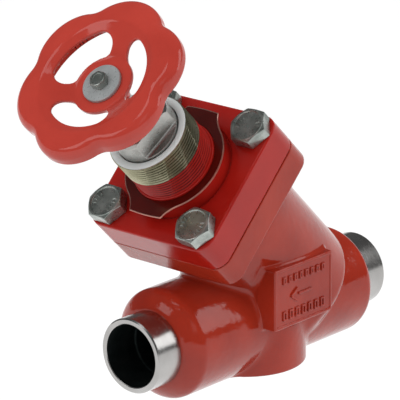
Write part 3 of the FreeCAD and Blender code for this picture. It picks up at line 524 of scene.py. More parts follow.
# Near-black steel for the insides of the bores: the casting's bare interior, darkened as painted
# shade of the deep passages
BORE_STEEL_AND_SHADE = metal("bore_steel_and_painted_shade", (0.02, 0.03, 0.03), (0.05, 0.06, 0.06), (0.5, 0.7))
ZINC = metal(
    "zinc", (0.35, 0.34, 0.22), (0.6, 0.57, 0.41), (0.25, 0.38), scale=110.0, grain=0.0000015)
GLAND_STEEL = metal(
    "gland_steel", (0.36, 0.36, 0.34), (0.47, 0.46, 0.44), (0.25, 0.38), scale=90.0, grain=0.000003)
RING_STEEL = dull_metal("ring_steel", (0.72, 0.8, 0.79), (0.78, 0.86, 0.85), metallic=0.05)
# Near-black copy of the zinc for the thread roots: painted shade in the grooves
SHADED_ROOT_ZINC = metal(
    "thread_root_zinc_painted_shade", (0.07, 0.065, 0.04), (0.14, 0.13, 0.08), (0.3, 0.45), scale=110.0)
BOLT_STEEL = dull_metal(
    "bolt_steel", (0.22, 0.25, 0.23), (0.52, 0.55, 0.52), metallic=0.9, roughness=(0.24, 0.38))
WASHER_STEEL = dull_metal(
    "washer_steel", (0.34, 0.36, 0.36), (0.42, 0.44, 0.44), metallic=0.3, roughness=(0.25, 0.35))
INNER_STEEL = metal("inner_steel", (0.5, 0.5, 0.5), (0.62, 0.62, 0.62), (0.2, 0.35))
SEAL_WHITE = soft("seal_white", (0.72, 0.71, 0.68), (0.82, 0.81, 0.78), (0.35, 0.5))
GASKET_GREY = soft("gasket_grey", (0.03, 0.03, 0.032), (0.06, 0.06, 0.062), (0.7, 0.85))
RUBBER = soft("rubber", (0.012, 0.012, 0.012), (0.02, 0.02, 0.02))


# Cast body. BEYOND is a station past every face of the body, and OVERLAP is how far shapes reach
# into each other where they are joined

BEYOND = 100.0
OVERLAP = 2.0
INLET_END = -80.0
OUTLET_END = -40.0
LIP_WALL = 2.5
RECESS_R = 26.2
RECESS_FLOOR = BONNET_FLANGE[0] - 2.0
FACET_ACROSS = 0.64
FACET_ALONG = 0.768
FACET_DEPTH = 4.1
PANEL_ROOT = 18.0
PANEL_MIDDLE = ((PANEL_X[0] + PANEL_X[1]) / 2, (PANEL_Z[0] + PANEL_Z[1]) / 2)
PANEL_HALF = ((PANEL_X[1] - PANEL_X[0]) / 2, (PANEL_Z[1] - PANEL_Z[0]) / 2)
HOLE_GAP = 0.1
BARE_AND_SHADED_REACH = 0.45
END_TUCK = 1.5
END_WALL = 0.9
END_LINING = 0.03


def bore_halves(x, y, z, station):
    """The passage from each pipe end to the bonnet's axis, below and above the seat's wall."""
    from_end = np.minimum(-x, x + LENGTH)
    step = np.clip(from_end - PORT_DEPTH, 0, PORT_R - PASSAGE_R)
    bore = np.hypot(y, z) - PORT_R + step
    inlet = keep(bore, station - (SEAT_FLOOR - WEB), 1.0)
    outlet = keep(bore, SEAT_FLOOR - station, 1.0)
    return join(np.maximum(inlet, INLET_END - x), np.maximum(outlet, x - OUTLET_END))


def passages(x, y, z):
    """All the room inside the cast body."""
    across, depth, station = leaning(x, y, z)
    radial = np.hypot(across, depth)
    lip_top = SEAT_FLOOR + SEAT_LIP
    chamber = rod(radial, station, CHAMBER_R, SEAT_FLOOR, BEYOND, 0.8)
    lip = rod(radial, station, SEAT_R + LIP_WALL, SEAT_FLOOR - 3, lip_top, 0.3)
    chamber = carve(chamber, lip, 0.3)
    seat = rod(radial, station, SEAT_R, SEAT_FLOOR - WEB - OVERLAP, lip_top + OVERLAP)
    recess = rod(radial, station, RECESS_R, RECESS_FLOOR, BEYOND)
    return join(join(bore_halves(x, y, z, station), join(chamber, seat)), recess)


def bolt_columns(across, depth, radius):
    """The flat distance to four round columns where the bolts are."""
    half = BOLT_SPACING / 2
    return np.hypot(np.abs(across) - half, np.abs(depth) - half) - radius


def barrel(x, y, z):
    """The barrel along the pipe, with a slight flat on each of its rounded ends."""
    pipe = np.hypot(y, z)
    round_ended = rod(pipe, x, BARREL_R, WELD_END - LENGTH, -WELD_END, SHOULDER_ROUND)
    beyond = np.abs(x + LENGTH / 2) - LENGTH / 2 + WELD_END
    slant = (pipe - BARREL_R) * FACET_ACROSS + beyond * FACET_ALONG + FACET_DEPTH
    return keep(round_ended, slant, 1.5)


def panel_core(x, y, z):
    """The block under the rating panel, a little smaller than the panel's own piece."""
    offsets = (x - PANEL_MIDDLE[0], y + (PANEL_FACE + PANEL_ROOT) / 2, z - PANEL_MIDDLE[1])
    halves = (PANEL_HALF[0] - 0.15, (PANEL_FACE - PANEL_ROOT) / 2 - 0.4, PANEL_HALF[1] - 0.15)
    return brick(offsets, halves, 0.8)


def body_flange(across, depth, station):
    square = rounded_square(across, depth, FLANGE_HALF, FLANGE_CORNER)
    return keep(keep(square, station - BODY_FLANGE[1], 0.25), BODY_FLANGE[0] - station, 0.9)


def casting(x, y, z):
    """The cast body without its panel's face and its weld ends."""
    across, depth, station = leaning(x, y, z)
    radial = np.hypot(across, depth)
    pad_radial = np.hypot(x - PAD_X, y)
    body = carve(barrel(x, y, z), np.maximum(pad_radial - PAD_R, z - PAD_Z), 0.3)
    neck = rod(radial, station, NECK_R, NECK_FOOT, BODY_FLANGE[0] + OVERLAP, NECK_FOOT_ROUND)
    body = join(body, neck, 3.0)
    body = join(body, rod(pad_radial, z, PAD_R, PAD_Z, 0.0, 0.8), 1.5)
    body = join(body, panel_core(x, y, z), 2.2)
    body = join(body, body_flange(across, depth, station), 3.0)
    body = carve(body, passages(x, y, z), 0.3)
    columns = bolt_columns(across, depth, BOLT_R + HOLE_GAP)
    return carve(body, np.maximum(columns, BODY_FLANGE[0] - 4 - station), 0.2)


def add_casting():
    """The casting, with near-black metal inside: its bare interior, darkened further as painted
    shade.
    """
    cell = 0.6
    body = field_object("valve_casting", casting, (-142, -35, -26), (-13, 35, 93), cell, CAST_RED)
    mesh = body.data
    mesh.materials.append(BORE_STEEL_AND_SHADE)
    centres = np.empty(len(mesh.polygons) * 3, np.float32)
    mesh.polygons.foreach_get("center", centres)
    x, y, z = (centres.reshape(-1, 3) / MM).T
    # Faces along the passages take the near-black steel: bare interior with painted shade
    inside = np.abs(passages(x, y, z)) < BARE_AND_SHADED_REACH
    mesh.polygons.foreach_set("material_index", inside.astype(np.int32))
    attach(body, "casing")
    return body


def add_weld_end(name, inlet):
    """A machined pipe end, drawn from its face at 0 back into the casting, with its bore lined near
    black as painted shade.
    """
    back = -WELD_END - END_TUCK
    lining, wall = PORT_R - END_LINING, PORT_R + END_WALL
    outline = [
        (wall, back), (wall, -PORT_DEPTH), (lining, -PORT_DEPTH), (lining, -0.3),
        (PORT_R + 0.3, 0), (PIPE_R - BEVEL, 0), (PIPE_R, -BEVEL), (PIPE_R, back)]
    if inlet:
        matrix = Matrix.Rotation(math.pi / 2, 4, "Y")
    else:
        matrix = Matrix.Translation((-LENGTH * MM, 0, 0)) @ Matrix.Rotation(-math.pi / 2, 4, "Y")
    end = turned_object(name, outline, MACHINED, matrix, 192)
    mesh = end.data
    mesh.materials.append(BORE_STEEL_AND_SHADE)
    for face in mesh.polygons:
        radius = math.hypot(face.center.y, face.center.z) / MM
        # The bore's thin lining takes the near-black steel: painted shade
        if radius < PORT_R + 0.1 and abs(face.normal.x) < 0.5:
            face.material_index = 1
    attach(end, "casing")


# Rating panel. In its plane, marks stand in rows about the panel's middle

ARROW_SHAFT = ((1.0, 0.0), (4.6, 0.55))
ARROW_BARB = ((-6.4, 1.5), (2.6, 0.55))
ARROW_SPREAD = 0.6
FRAME_ROWS = (
    {"height": 8.2, "count": 8, "half_height": 1.7, "half_width": 1.05},
    {"height": -8.2, "count": 7, "half_height": 2.2, "half_width": 1.3})
FRAME_WALL = 0.85
ROW_LENGTH = 30.0
FACE_ROOT = 22.0
BORDER = 1.7
FIELD_DEPTH = 0.8
MARK_MIDDLE = 0.5
MARK_HALF = 0.85


def bar(x, z, centre, halves, turn=0.0):
    """The flat distance to a turned bar in the panel's plane, by its place from the middle."""
    c, s = math.cos(turn), math.sin(turn)
    dx, dz = x - (PANEL_MIDDLE[0] + centre[0]), z - (PANEL_MIDDLE[1] + centre[1])
    a, b = c * dx + s * dz, c * dz - s * dx
    across, up = np.abs(a) - halves[0], np.abs(b) - halves[1]
    outside = np.hypot(np.maximum(across, 0), np.maximum(up, 0))
    return outside + np.minimum(np.maximum(across, up), 0)


def panel_marks(x, z):
    """A flow arrow between two rows of plain rectangular frames."""
    (back, rise), stroke = ARROW_BARB
    marks = [bar(x, z, (back, side * rise), stroke, side * ARROW_SPREAD) for side in (1, -1)]
    marks.append(bar(x, z, *ARROW_SHAFT))
    for row in FRAME_ROWS:
        halves = (row["half_width"], row["half_height"])
        hollow = [half - FRAME_WALL for half in halves]
        for index in range(row["count"]):
            along = (index - (row["count"] - 1) / 2) * (ROW_LENGTH / row["count"])
            place = (along, row["height"])
            marks.append(carve(bar(x, z, place, halves), bar(x, z, place, hollow)))
    return np.minimum.reduce(marks)


def panel(x, y, z):
    """The panel's own piece: a block with a raised border and raised marks in its sunk field."""
    dx, dz = x - PANEL_MIDDLE[0], z - PANEL_MIDDLE[1]
    wide, high = PANEL_HALF
    depth = (PANEL_FACE - FACE_ROOT) / 2
    block = brick((dx, y + (PANEL_FACE + FACE_ROOT) / 2, dz), (wide, depth, high), 0.8)
    halves = (wide - BORDER, OVERLAP + FIELD_DEPTH, high - BORDER)
    block = carve(block, brick((dx, y + PANEL_FACE + OVERLAP, dz), halves, 0.35), 0.6)
    marks = keep(panel_marks(x, z), np.abs(y + PANEL_FACE - MARK_MIDDLE) - MARK_HALF, 0.3)
    return join(block, marks, 0.25)


def add_panel():
    cell = 0.22
    low = (PANEL_X[0] - 0.5, -PANEL_FACE - 0.5, PANEL_Z[0] - 0.5)
    high = (PANEL_X[1] + 0.5, -FACE_ROOT + 0.5, PANEL_Z[1] + 0.5)
    piece = field_object("rating_panel", panel, low, high, cell, CAST_RED)
    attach(piece, "casing")


# Bonnet

GROOVE_WIDTH = 0.7
GROOVE_DEPTH = 0.8
STEM_HOLE_R = 8.0
PACKING_R = 11.0
PACKING_FLOOR = 111.3
SPIGOT_REACH = 15


def cover(u, v, s):
    """The square cover with its round shoulder, the thread's root and the spigot below."""
    radial = np.hypot(u, v)
    square = rounded_square(u, v, FLANGE_HALF, FLANGE_CORNER)
    flange = keep(keep(square, s - BONNET_FLANGE[1], 0.8), BONNET_FLANGE[0] - s, 0.25)
    shoulder = rod(radial, s, SHOULDER_R, BONNET_FLANGE[0] + OVERLAP, SHOULDER_TOP, 0.8)
    groove_floor = BONNET_FLANGE[1] - GROOVE_DEPTH
    groove = rod(radial, s, SHOULDER_R + GROOVE_WIDTH, groove_floor, SHOULDER_TOP + 5)
    body = join(carve(flange, groove), shoulder)
    root = rod(radial, s, ROOT_R, SHOULDER_TOP - 3, ROOT_TOP, 0.4)
    body = join(body, root, 0.3)
    spigot_foot = BONNET_FLANGE[0] - SPIGOT_REACH
    spigot = rod(radial, s, CHAMBER_R - 0.3, spigot_foot, BONNET_FLANGE[0] + OVERLAP, 0.5)
    body = join(body, spigot)
    body = carve(body, radial - STEM_HOLE_R, 0.3)
    body = carve(body, np.maximum(radial - PACKING_R, PACKING_FLOOR - s), 0.3)
    columns = bolt_columns(u, v, BOLT_R + 0.5)
    return carve(body, np.maximum(columns, BONNET_FLANGE[0] - 3 - s), 0.2)


def add_cover():
    cell = 0.5
    piece = field_object(
        "bonnet_cover", cover, (-34.5, -34.5, 76), (34.5, 34.5, 116), cell, BONNET_RED,
        lean_matrix())
    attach(piece, "casing")
    return piece


def thread_surface(radius, pitch, depth, foot, top, lead_in, steps, per_pitch=12):
    """Points and quads of a right-hand outer thread about Z, which fades out at both ends."""
    rows = int((top - foot) / pitch * per_pitch) + 1
    height, angle = np.meshgrid(np.linspace(foot, top, rows), circle(steps), indexing="ij")
    phase = (height / pitch - angle / (2 * math.pi)) % 1.0
    crest = np.clip((0.5 - np.abs(phase - 0.5)) * 2.5 - 0.2, 0, 1)
    fade = np.clip((height - foot) / (pitch * 0.8), 0, 1) * np.clip((top - height) / lead_in, 0, 1)
    radii = radius - depth * (1 - crest) * np.minimum(fade * 1.5, 1)
    points = np.stack([radii * np.cos(angle), radii * np.sin(angle), height], -1).reshape(-1, 3)
    return points, np.concatenate(closed_quads(rows, steps)[:-1])


NECK_STEPS = 200
NECK_PITCH = 1.5
NECK_THREAD_DEPTH = 0.85
NECK_START = ROOT_TOP - 0.4
GLAND_SEAT = 132.3
GLAND_THREAD_R = 13.5
GLAND_FLOOR = 122.3
# Station below which the neck's bore is painted near black as shade
PAINTED_SHADE_BELOW = 130.0
PAINT_EDGE = 125.7
NECK_MATERIALS = (ZINC, BONNET_RED, RING_STEEL, BORE_STEEL_AND_SHADE, SHADED_ROOT_ZINC, SHADED_ROOT_RED)


def neck_mesh():
    """The neck's thread, then rings over its top, down its stepped bore and back to its foot."""
    points, faces = thread_surface(
        THREAD_R, NECK_PITCH, NECK_THREAD_DEPTH, foot=NECK_START, top=NECK_TOP - 0.4, lead_in=0.6,
        steps=NECK_STEPS)
    turns = [
        (THREAD_R - 0.4, NECK_TOP), (NECK_BORE + 0.3, NECK_TOP), (NECK_BORE, NECK_TOP - 0.3),
        (NECK_BORE, GLAND_SEAT), (GLAND_THREAD_R, GLAND_SEAT), (GLAND_THREAD_R, GLAND_FLOOR),
        (PACKING_R, GLAND_FLOOR), (PACKING_R, 112.0)]
    angles = circle(NECK_STEPS)
    rings = [ring_points(angles, radius, height) for radius, height in turns]
    rings.append(ring_points(angles, PACKING_R, NECK_START))
    last = len(points) - NECK_STEPS
    starts = [last + i * NECK_STEPS for i in range(len(turns) + 1)]
    joins = [ring_quads(one, two, NECK_STEPS) for one, two in zip(starts, starts[1:])]
    joins.append(ring_quads(starts[-1] + NECK_STEPS, 0, NECK_STEPS))
    return np.concatenate([points] + rings), np.concatenate([faces] + joins)


def neck_material(radius, station, angle):
    """Paint up to a slightly wavy edge, bare zinc above it, a turned top, and painted shade:
    near-black thread roots and a near-black lower bore.
    """
    edge = PAINT_EDGE + 0.35 * math.sin(3 * angle + 1)
    if station > NECK_TOP - 0.1 and radius < THREAD_R - 0.45:
        return RING_STEEL
    # Below a set station the bore takes the near-black steel: painted shade deep in the bore
    if radius < NECK_BORE + 0.25:
        return RING_STEEL if station > PAINTED_SHADE_BELOW else BORE_STEEL_AND_SHADE
    # Faces deep in the thread's grooves take the near-black copies of the paint and zinc: painted
    # shade
    if station < NECK_TOP - 0.7 and radius < THREAD_R - 0.5:
        return SHADED_ROOT_RED if station < edge else SHADED_ROOT_ZINC
    return BONNET_RED if station < edge else ZINC


def add_neck():
    """The threaded neck, painted at its root and bare above, with its turned top and bore."""
    points, faces = neck_mesh()
    neck = mesh_object("bonnet_neck", points, faces, NECK_MATERIALS[0], lean_matrix())
    mesh = neck.data
    for material in NECK_MATERIALS[1:]:
        mesh.materials.append(material)
    back = lean_matrix().inverted()
    for face in mesh.polygons:
        local = back @ face.center
        radius, station = math.hypot(local.x, local.y) / MM, local.z / MM
        material = neck_material(radius, station, math.atan2(local.y, local.x))
        face.material_index = NECK_MATERIALS.index(material)
    shade_by_angle(neck, 50)
    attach(neck, "casing")


# Label plate

LABEL_R = 24.2
TAB_REACH = 26.6
TAB_HALF = 8.6
LABEL_STEPS = 360
LABEL_TOP = SHOULDER_TOP + 0.7
HIGHLIGHT_RINGS = (3, 4, 5)


def label_outline(u, v):
    """The flat distance to a disc with two tabs that flow into it."""
    tab = np.maximum(np.abs(u) - TAB_REACH, np.abs(v) - TAB_HALF)
    return join(np.hypot(u, v) - LABEL_R, tab, 6.0)


def label_angles():
    """Angles round the plate, with one at each corner of the tabs."""
    angles = circle(LABEL_STEPS)
    corner = math.atan2(TAB_HALF, TAB_REACH)
    for target in (corner, -corner % (2 * math.pi), math.pi - corner, math.pi + corner):
        angles[np.argmin(np.abs(angles - target))] = target
    return angles


def label_reach(angles):
    """How far the plate's outline is from its middle at each angle, found from outside inwards."""
    reach = np.full(LABEL_STEPS, 30.0)
    for _ in range(60):
        reach = reach - 0.8 * label_outline(reach * np.cos(angles), reach * np.sin(angles))
    return reach


def add_label():
    """The plate round the neck, a flat ring from its bore out to the tabbed outline, its rim in a
    pale metal as a painted highlight.
    """
    angles = label_angles()
    reach = label_reach(angles)
    inner = ROOT_R + 0.2
    rings = [
        (inner, SHOULDER_TOP), (inner, LABEL_TOP - 0.1), (inner + 0.1, LABEL_TOP),
        (reach - 0.45, LABEL_TOP), (reach - 0.1, LABEL_TOP - 0.02),
        (reach, LABEL_TOP - 0.15), (reach, SHOULDER_TOP)]
    points = np.concatenate([ring_points(angles, radius, height) for radius, height in rings])
    faces = np.concatenate(closed_quads(len(rings), LABEL_STEPS))[:, ::-1]
    plate = mesh_object("label", points, faces, LABEL_RED, lean_matrix())
    plate.data.materials.append(LABEL_EDGE_HIGHLIGHT)
    # The rings round the rim take the pale metal: painted highlight
    edges = [1 if i in HIGHLIGHT_RINGS else 0 for i in range(len(rings))]
    plate.data.polygons.foreach_set("material_index", np.repeat(edges, LABEL_STEPS).tolist())
    shade_by_angle(plate, 30)
    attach(plate, "casing")
    return plate


# Gland

GLAND_TURN = math.radians(77.0)
GLAND_FLATS = 21.0
FLATS_FOOT = 139.2
GLAND_HOLE_R = 6.05
WIPER_R = 9.0
WIPER_DEPTH = 3.4


def gland(u, v, s):
    """The gland nut: a bevelled round bar with two flats for a spanner and a stepped hole."""
    radial = np.hypot(u, v)
    side = np.abs(u * math.cos(GLAND_TURN) + v * math.sin(GLAND_TURN))
    body = rod(radial, s, GLAND_R, 125.0, GLAND_TOP)
    body = np.maximum(body, (radial - GLAND_R + s - GLAND_TOP + 1.2) * math.sqrt(0.5))
    body = carve(body, keep(GLAND_FLATS / 2 - side, FLATS_FOOT - s, 1.3), 0.12)
    body = carve(body, radial - GLAND_HOLE_R, 0.2)
    return carve(body, np.maximum(radial - WIPER_R, GLAND_TOP - WIPER_DEPTH - s), 0.15)


def add_gland():
    cell = 0.3
    piece = field_object(
        "gland_nut", gland, (-15, -15, 126), (15, 15, 149.5), cell, GLAND_STEEL, lean_matrix())
    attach(piece, "casing")
    return piece


# Bolts

WASHER_FACE_R = 7.6
WASHER_FACE = 0.4
SUNK_R = 6.9
SUNK_FLOOR = HEAD_HEIGHT - 0.45
TICK_ANGLES = (0.4, 0.75, 1.1, 1.45, 3.5, 3.85, 4.3, 4.65)
TICK_R = 5.0
TICK_HALF = (0.95, 0.28)
BOLT_PITCH = 1.5
BOLT_THREAD_DEPTH = 0.8
SHANK_STEPS = 64
SHANK_FOOT = -34.0
SHANK_TIP = -35.0
SHANK_TIP_R = 4.0
BOLT_PLACES = ((-1, -1, 26.0), (-1, 1, 29.0), (1, -1, 31.0), (1, 1, 28.0))


def head_ticks(x, y, z):
    """Plain short bars that point at the head's middle, raised from its sunk top."""
    ticks = []
    for place in TICK_ANGLES:
        across = np.abs(x * math.sin(place) - y * math.cos(place)) - TICK_HALF[1]
        along = np.abs(x * math.cos(place) + y * math.sin(place) - TICK_R) - TICK_HALF[0]
        ticks.append(np.maximum(across, along))
    tick = keep(np.minimum.reduce(ticks), z - HEAD_HEIGHT + 0.02, 0.15)
    return np.maximum(tick, SUNK_FLOOR - 0.5 - z)


def bolt_head(x, y, z):
    """A hexagon head from its seat at 0 up, with a washer face and a sunk top with plain ticks."""
    radial = np.hypot(x, y)
    middle = (WASHER_FACE + HEAD_HEIGHT) / 2
    prism = keep(hexagon(x, y, HEAD_FLATS), np.abs(z - middle) - middle + WASHER_FACE, 0.2)
    prism = keep(prism, corner_cone(radial, z, HEAD_FLATS * 0.475, HEAD_HEIGHT), 0.15)
    body = join(rod(radial, z, WASHER_FACE_R, 0.0, 1.0), prism, 0.1)
    body = carve(body, keep(radial - SUNK_R, SUNK_FLOOR - z, 0.4), 0.15)
    return join(body, head_ticks(x, y, z), 0.1)


def bolt_shank():
    """A threaded shank below 0, closed at its tip."""
    points, faces = thread_surface(
        BOLT_R - 0.02, BOLT_PITCH, BOLT_THREAD_DEPTH, foot=SHANK_FOOT, top=-0.05, lead_in=0.3,
        steps=SHANK_STEPS, per_pitch=8)
    rim = len(points)
    closing = ring_quads(rim, 0, SHANK_STEPS)
    k = np.arange(SHANK_STEPS)
    m = (k + 1) % SHANK_STEPS
    caps = np.stack([np.full(SHANK_STEPS, rim + SHANK_STEPS), rim + m, rim + k], 1)
    rim_points = ring_points(circle(SHANK_STEPS), SHANK_TIP_R, SHANK_TIP)
    points = np.concatenate([points, rim_points, [[0.0, 0.0, SHANK_TIP]]])
    return points, faces.tolist() + closing.tolist() + caps.tolist()


def add_bolts():
    """Four cover bolts, each a head and a shank, turned a little differently."""
    cell = 0.2
    reach = HEAD_FLATS * 0.6
    points, quads = skin(bolt_head, (-reach, -reach, 0), (reach, reach, HEAD_HEIGHT + 0.1), cell)
    slope = unit_slope(bolt_head, points, cell * 0.4)
    shank_points, shank_faces = bolt_shank()
    half = BOLT_SPACING / 2
    made = []
    for number, (across, depth, degrees) in enumerate(BOLT_PLACES, start=1):
        turn = math.radians(degrees)
        matrix = lean_matrix(BONNET_FLANGE[1], across * half, depth * half, turn)
        head = mesh_object("bolt_head_%d" % number, points, quads, BOLT_STEEL, matrix)
        shade_by_slope(head, slope, matrix)
        shank = mesh_object("bolt_shank_%d" % number, shank_points, shank_faces, BOLT_STEEL, matrix)
        shade_by_angle(shank, 50)
        for piece in (head, shank):
            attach(piece, "casing")
            made.append(piece)
    return made


# Handwheel. Its upper face is flat at the hub, bends into a cone and is rounded at the crest.
# FIELD_STRETCH brings fields that rise too fast near to true distances

LOBE_REACH = 39.2
NOTCH_REACH = 35.2
NOTCH_ROUND = 9.0
WEB_TOP = 176.5
WEB_R = 31.5
WEB_FOOT = 172.0
CREST = 184.0
CREST_FALL = 0.007
FALL_START = 28.8
FALL_WIDTH = 11.0
RIM_FOOT = 175.0
SLOT_TURN = math.radians(-0.5)
SLOT_INNER = 13.9
SLOT_OUTER = 23.8
SPOKE_HALF = 4.4
SLOT_CORNER = 4.6
HUB_FLAT = 11.4
HUB_BEND = 6.0
HUB_BEND_WIDTH = 2.687
CONE_WIDTH = 12.6
CONE_SLOPE = 0.5021
CREST_R = 28.84
CREST_BEND = 4.8
CREST_BEND_WIDTH = 2.154
UNDERSIDE_R = (0, 14.1, 24.0, 31.0)
UNDERSIDE = (174.9, 174.9, 180.7, 181.0)
HUB_R = 6.8
HUB_FOOT = 165.0
HUB_HALF = 5.5
HUB_WIDENING = 2.2
SQUARE_HALF = 4.03
FIELD_STRETCH = 0.9


def lobed(u, v):
    """The flat distance to the rim's outline: six lobes with round notches between them."""
    notch_centre = NOTCH_REACH + NOTCH_ROUND
    cosine = math.cos(math.pi / 6)
    gain = 2 * notch_centre * cosine - 2 * LOBE_REACH - 2 * NOTCH_ROUND
    rest = NOTCH_ROUND ** 2 - LOBE_REACH ** 2 - notch_centre ** 2
    radius = (rest + 2 * LOBE_REACH * notch_centre * cosine) / gain
    centre = LOBE_REACH - radius
    angle = np.arctan2(v, u)
    sector = math.pi / 3
    folded = np.abs((angle + sector / 2) % sector - sector / 2)
    reach = np.hypot(u, v)
    a, b = reach * np.cos(folded), reach * np.sin(folded)
    na, nb = notch_centre * cosine, notch_centre * math.sin(math.pi / 6)
    side = (na - centre) * b - nb * (a - centre)
    lobe = np.hypot(a - centre, b) - radius
    notch = NOTCH_ROUND - np.hypot(a - na, b - nb)
    return np.where(side < 0, lobe, notch)


def spoke_slots(u, v):
    """The flat distance to the three openings between the spokes, with round ends."""
    reach = np.hypot(u, v)
    angle = np.arctan2(v, u) - SLOT_TURN
    sector = 2 * math.pi / 3
    from_spoke = np.abs((angle + sector / 2) % sector - sector / 2)
    low, high = SLOT_INNER + SLOT_CORNER, SLOT_OUTER - SLOT_CORNER
    edge = SPOKE_HALF + SLOT_CORNER
    first, last = math.sqrt(low ** 2 - edge ** 2), math.sqrt(high ** 2 - edge ** 2)
    along, beside = reach * np.cos(from_spoke), reach * np.sin(from_spoke)
    within = np.clip(reach, low, high) * np.sin(from_spoke) >= edge
    band = np.maximum(reach - high, low - reach)
    ends = np.hypot(along - np.clip(along, first, last), beside - edge)
    return np.where(within, band, ends) - SLOT_CORNER


def dish_height(radial):
    """The station of the wheel's upper face: flat at the hub, a cone, then rounded at the crest."""
    from_flat = np.clip(radial - HUB_FLAT, 0, HUB_BEND_WIDTH)
    bend = HUB_BEND - np.sqrt(HUB_BEND ** 2 - from_flat ** 2)
    cone = np.clip(radial - HUB_FLAT - HUB_BEND_WIDTH, 0, CONE_WIDTH) * CONE_SLOPE
    to_crest = np.clip(CREST_R - radial, 0, CREST_BEND_WIDTH)
    crest = np.sqrt(CREST_BEND ** 2 - to_crest ** 2)
    crest = crest - math.sqrt(CREST_BEND ** 2 - CREST_BEND_WIDTH ** 2)
    return WEB_TOP + bend + cone + crest


def wheel_rim(u, v, s, radial):
    """The lobed rim, whose crest falls slowly towards its outside."""
    c, sn = math.cos(WHEEL_TURN), math.sin(WHEEL_TURN)
    outline = lobed(c * u + sn * v, c * v - sn * u)
    fall = CREST_FALL * np.clip(radial - FALL_START, 0, FALL_WIDTH) ** 2
    return keep(keep(outline, s - CREST + fall, 4.2), RIM_FOOT - s, 2.0)


def wheel_hub(s, radial):
    """The hub below the web, thinner towards its foot."""
    widening = HUB_WIDENING * np.clip((s - HUB_FOOT) / 9.0, 0, 1)
    taper = FIELD_STRETCH * (radial - HUB_R - widening)
    return keep(taper, np.abs(s - HUB_FOOT - HUB_HALF) - HUB_HALF, 0.6)


def wheel(u, v, s):
    """The handwheel: a lobed rim, a dished web with openings, and a hub with a square hole."""
    radial = np.hypot(u, v)
    body = np.minimum(wheel_rim(u, v, s, radial), np.maximum(radial - WEB_R, WEB_FOOT - s))
    body = keep(body, (s - dish_height(radial)) * FIELD_STRETCH)
    below = np.interp(radial, UNDERSIDE_R, UNDERSIDE)
    hollow = keep((s - below) * FIELD_STRETCH, radial - UNDERSIDE_R[-1], 1.2)
    body = carve(body, hollow, 0.3)
    body = join(body, wheel_hub(s, radial), 0.8)
    body = carve(body, np.maximum(spoke_slots(u, v), np.abs(s - 178.5) - 9), 0.35)
    square = np.maximum(np.abs(u), np.abs(v)) - SQUARE_HALF
    return carve(body, square, 0.1)


def add_wheel():
    cell = 0.4
    piece = field_object(
        "wheel", wheel, (-39.6, -39.6, 165), (39.6, 39.6, 184.2), cell, WHEEL_RED, lean_matrix())
    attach(piece, "spindle")
    return piece


WASHER_R = 9.0
WASHER_HOLE_R = 2.2
WASHER_TOP = 178.1
SCREW_FLATS = 7.0
SCREW_HEAD = 3.4
SCREW_R = 2.0


def add_wheel_washer():
    """The washer on the wheel's hub, with rounded rims."""
    outline = [
        (WASHER_HOLE_R, WEB_TOP), (WASHER_R - 0.2, WEB_TOP), (WASHER_R, WEB_TOP + 0.2),
        (WASHER_R, WASHER_TOP - 0.4), (WASHER_R - 0.25, WASHER_TOP - 0.05),
        (WASHER_R - 0.6, WASHER_TOP), (WASHER_HOLE_R + 0.3, WASHER_TOP),
        (WASHER_HOLE_R, WASHER_TOP - 0.3)]
    piece = turned_object("wheel_washer", outline, WASHER_STEEL, lean_matrix(), 128)
    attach(piece, "spindle")
    return piece


def screw_head(x, y, z):
    """The head of the screw that holds the wheel, slightly sunk on top, and its shank."""
    radial = np.hypot(x, y)
    half = SCREW_HEAD / 2
    prism = keep(hexagon(x, y, SCREW_FLATS), np.abs(z - half) - half, 0.12)
    prism = keep(prism, corner_cone(radial, z, 3.3, SCREW_HEAD), 0.1)
    prism = carve(prism, keep(radial - 2.6, SCREW_HEAD - 0.4 - z, 0.3), 0.12)
    return join(prism, rod(radial, z, SCREW_R, -14.0, 1.0, 0.4), 0.1)


def add_wheel_screw():
    cell = 0.13
    piece = field_object(
        "wheel_screw", screw_head, (-4.4, -4.4, -14.2), (4.4, 4.4, 3.6), cell, BOLT_STEEL,
        lean_matrix(WASHER_TOP, turn=math.radians(30.0)))
    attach(piece, "spindle")
    return piece


def dress_node(name, material):
    """Give a CAD node that stays in view its finished material."""
    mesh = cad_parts[name].data
    mesh.materials.clear()
    mesh.materials.append(material)


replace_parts(add_casting(), "valve_body")
add_weld_end("inlet_end", True)
add_weld_end("outlet_end", False)
add_panel()
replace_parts(add_cover(), "bonnet")
add_neck()
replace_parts(add_label(), "label_plate")
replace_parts(add_gland(), "packing_gland")
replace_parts(add_bolts()[0], "bonnet_bolts")
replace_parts(add_wheel(), "handwheel")
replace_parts(add_wheel_washer(), "handwheel_washer")
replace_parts(add_wheel_screw(), "handwheel_screw")

for node, material in (
        ("bonnet_gasket", GASKET_GREY), ("gland_seal_ring", RUBBER),
        ("spindle_seal_rings", RUBBER), ("wiper_ring", RUBBER),
        ("packing_support_ring", INNER_STEEL), ("packing_rings", SEAL_WHITE),
        ("packing_follower_ring", INNER_STEEL), ("disc_springs", INNER_STEEL),
        ("spindle", INNER_STEEL), ("valve_cone", INNER_STEEL), ("cone_seal_ring", SEAL_WHITE),
        ("seal_ring_disc", INNER_STEEL), ("seal_ring_screw", BOLT_STEEL),
        ("cone_thrust_washer", INNER_STEEL), ("cone_nut", INNER_STEEL)):
    dress_node(node, material)


# Studio

FLOOR_Z = -0.3
FLOOR_GLOW = 0.24
AIM = (-0.09, 0.0, 0.06)


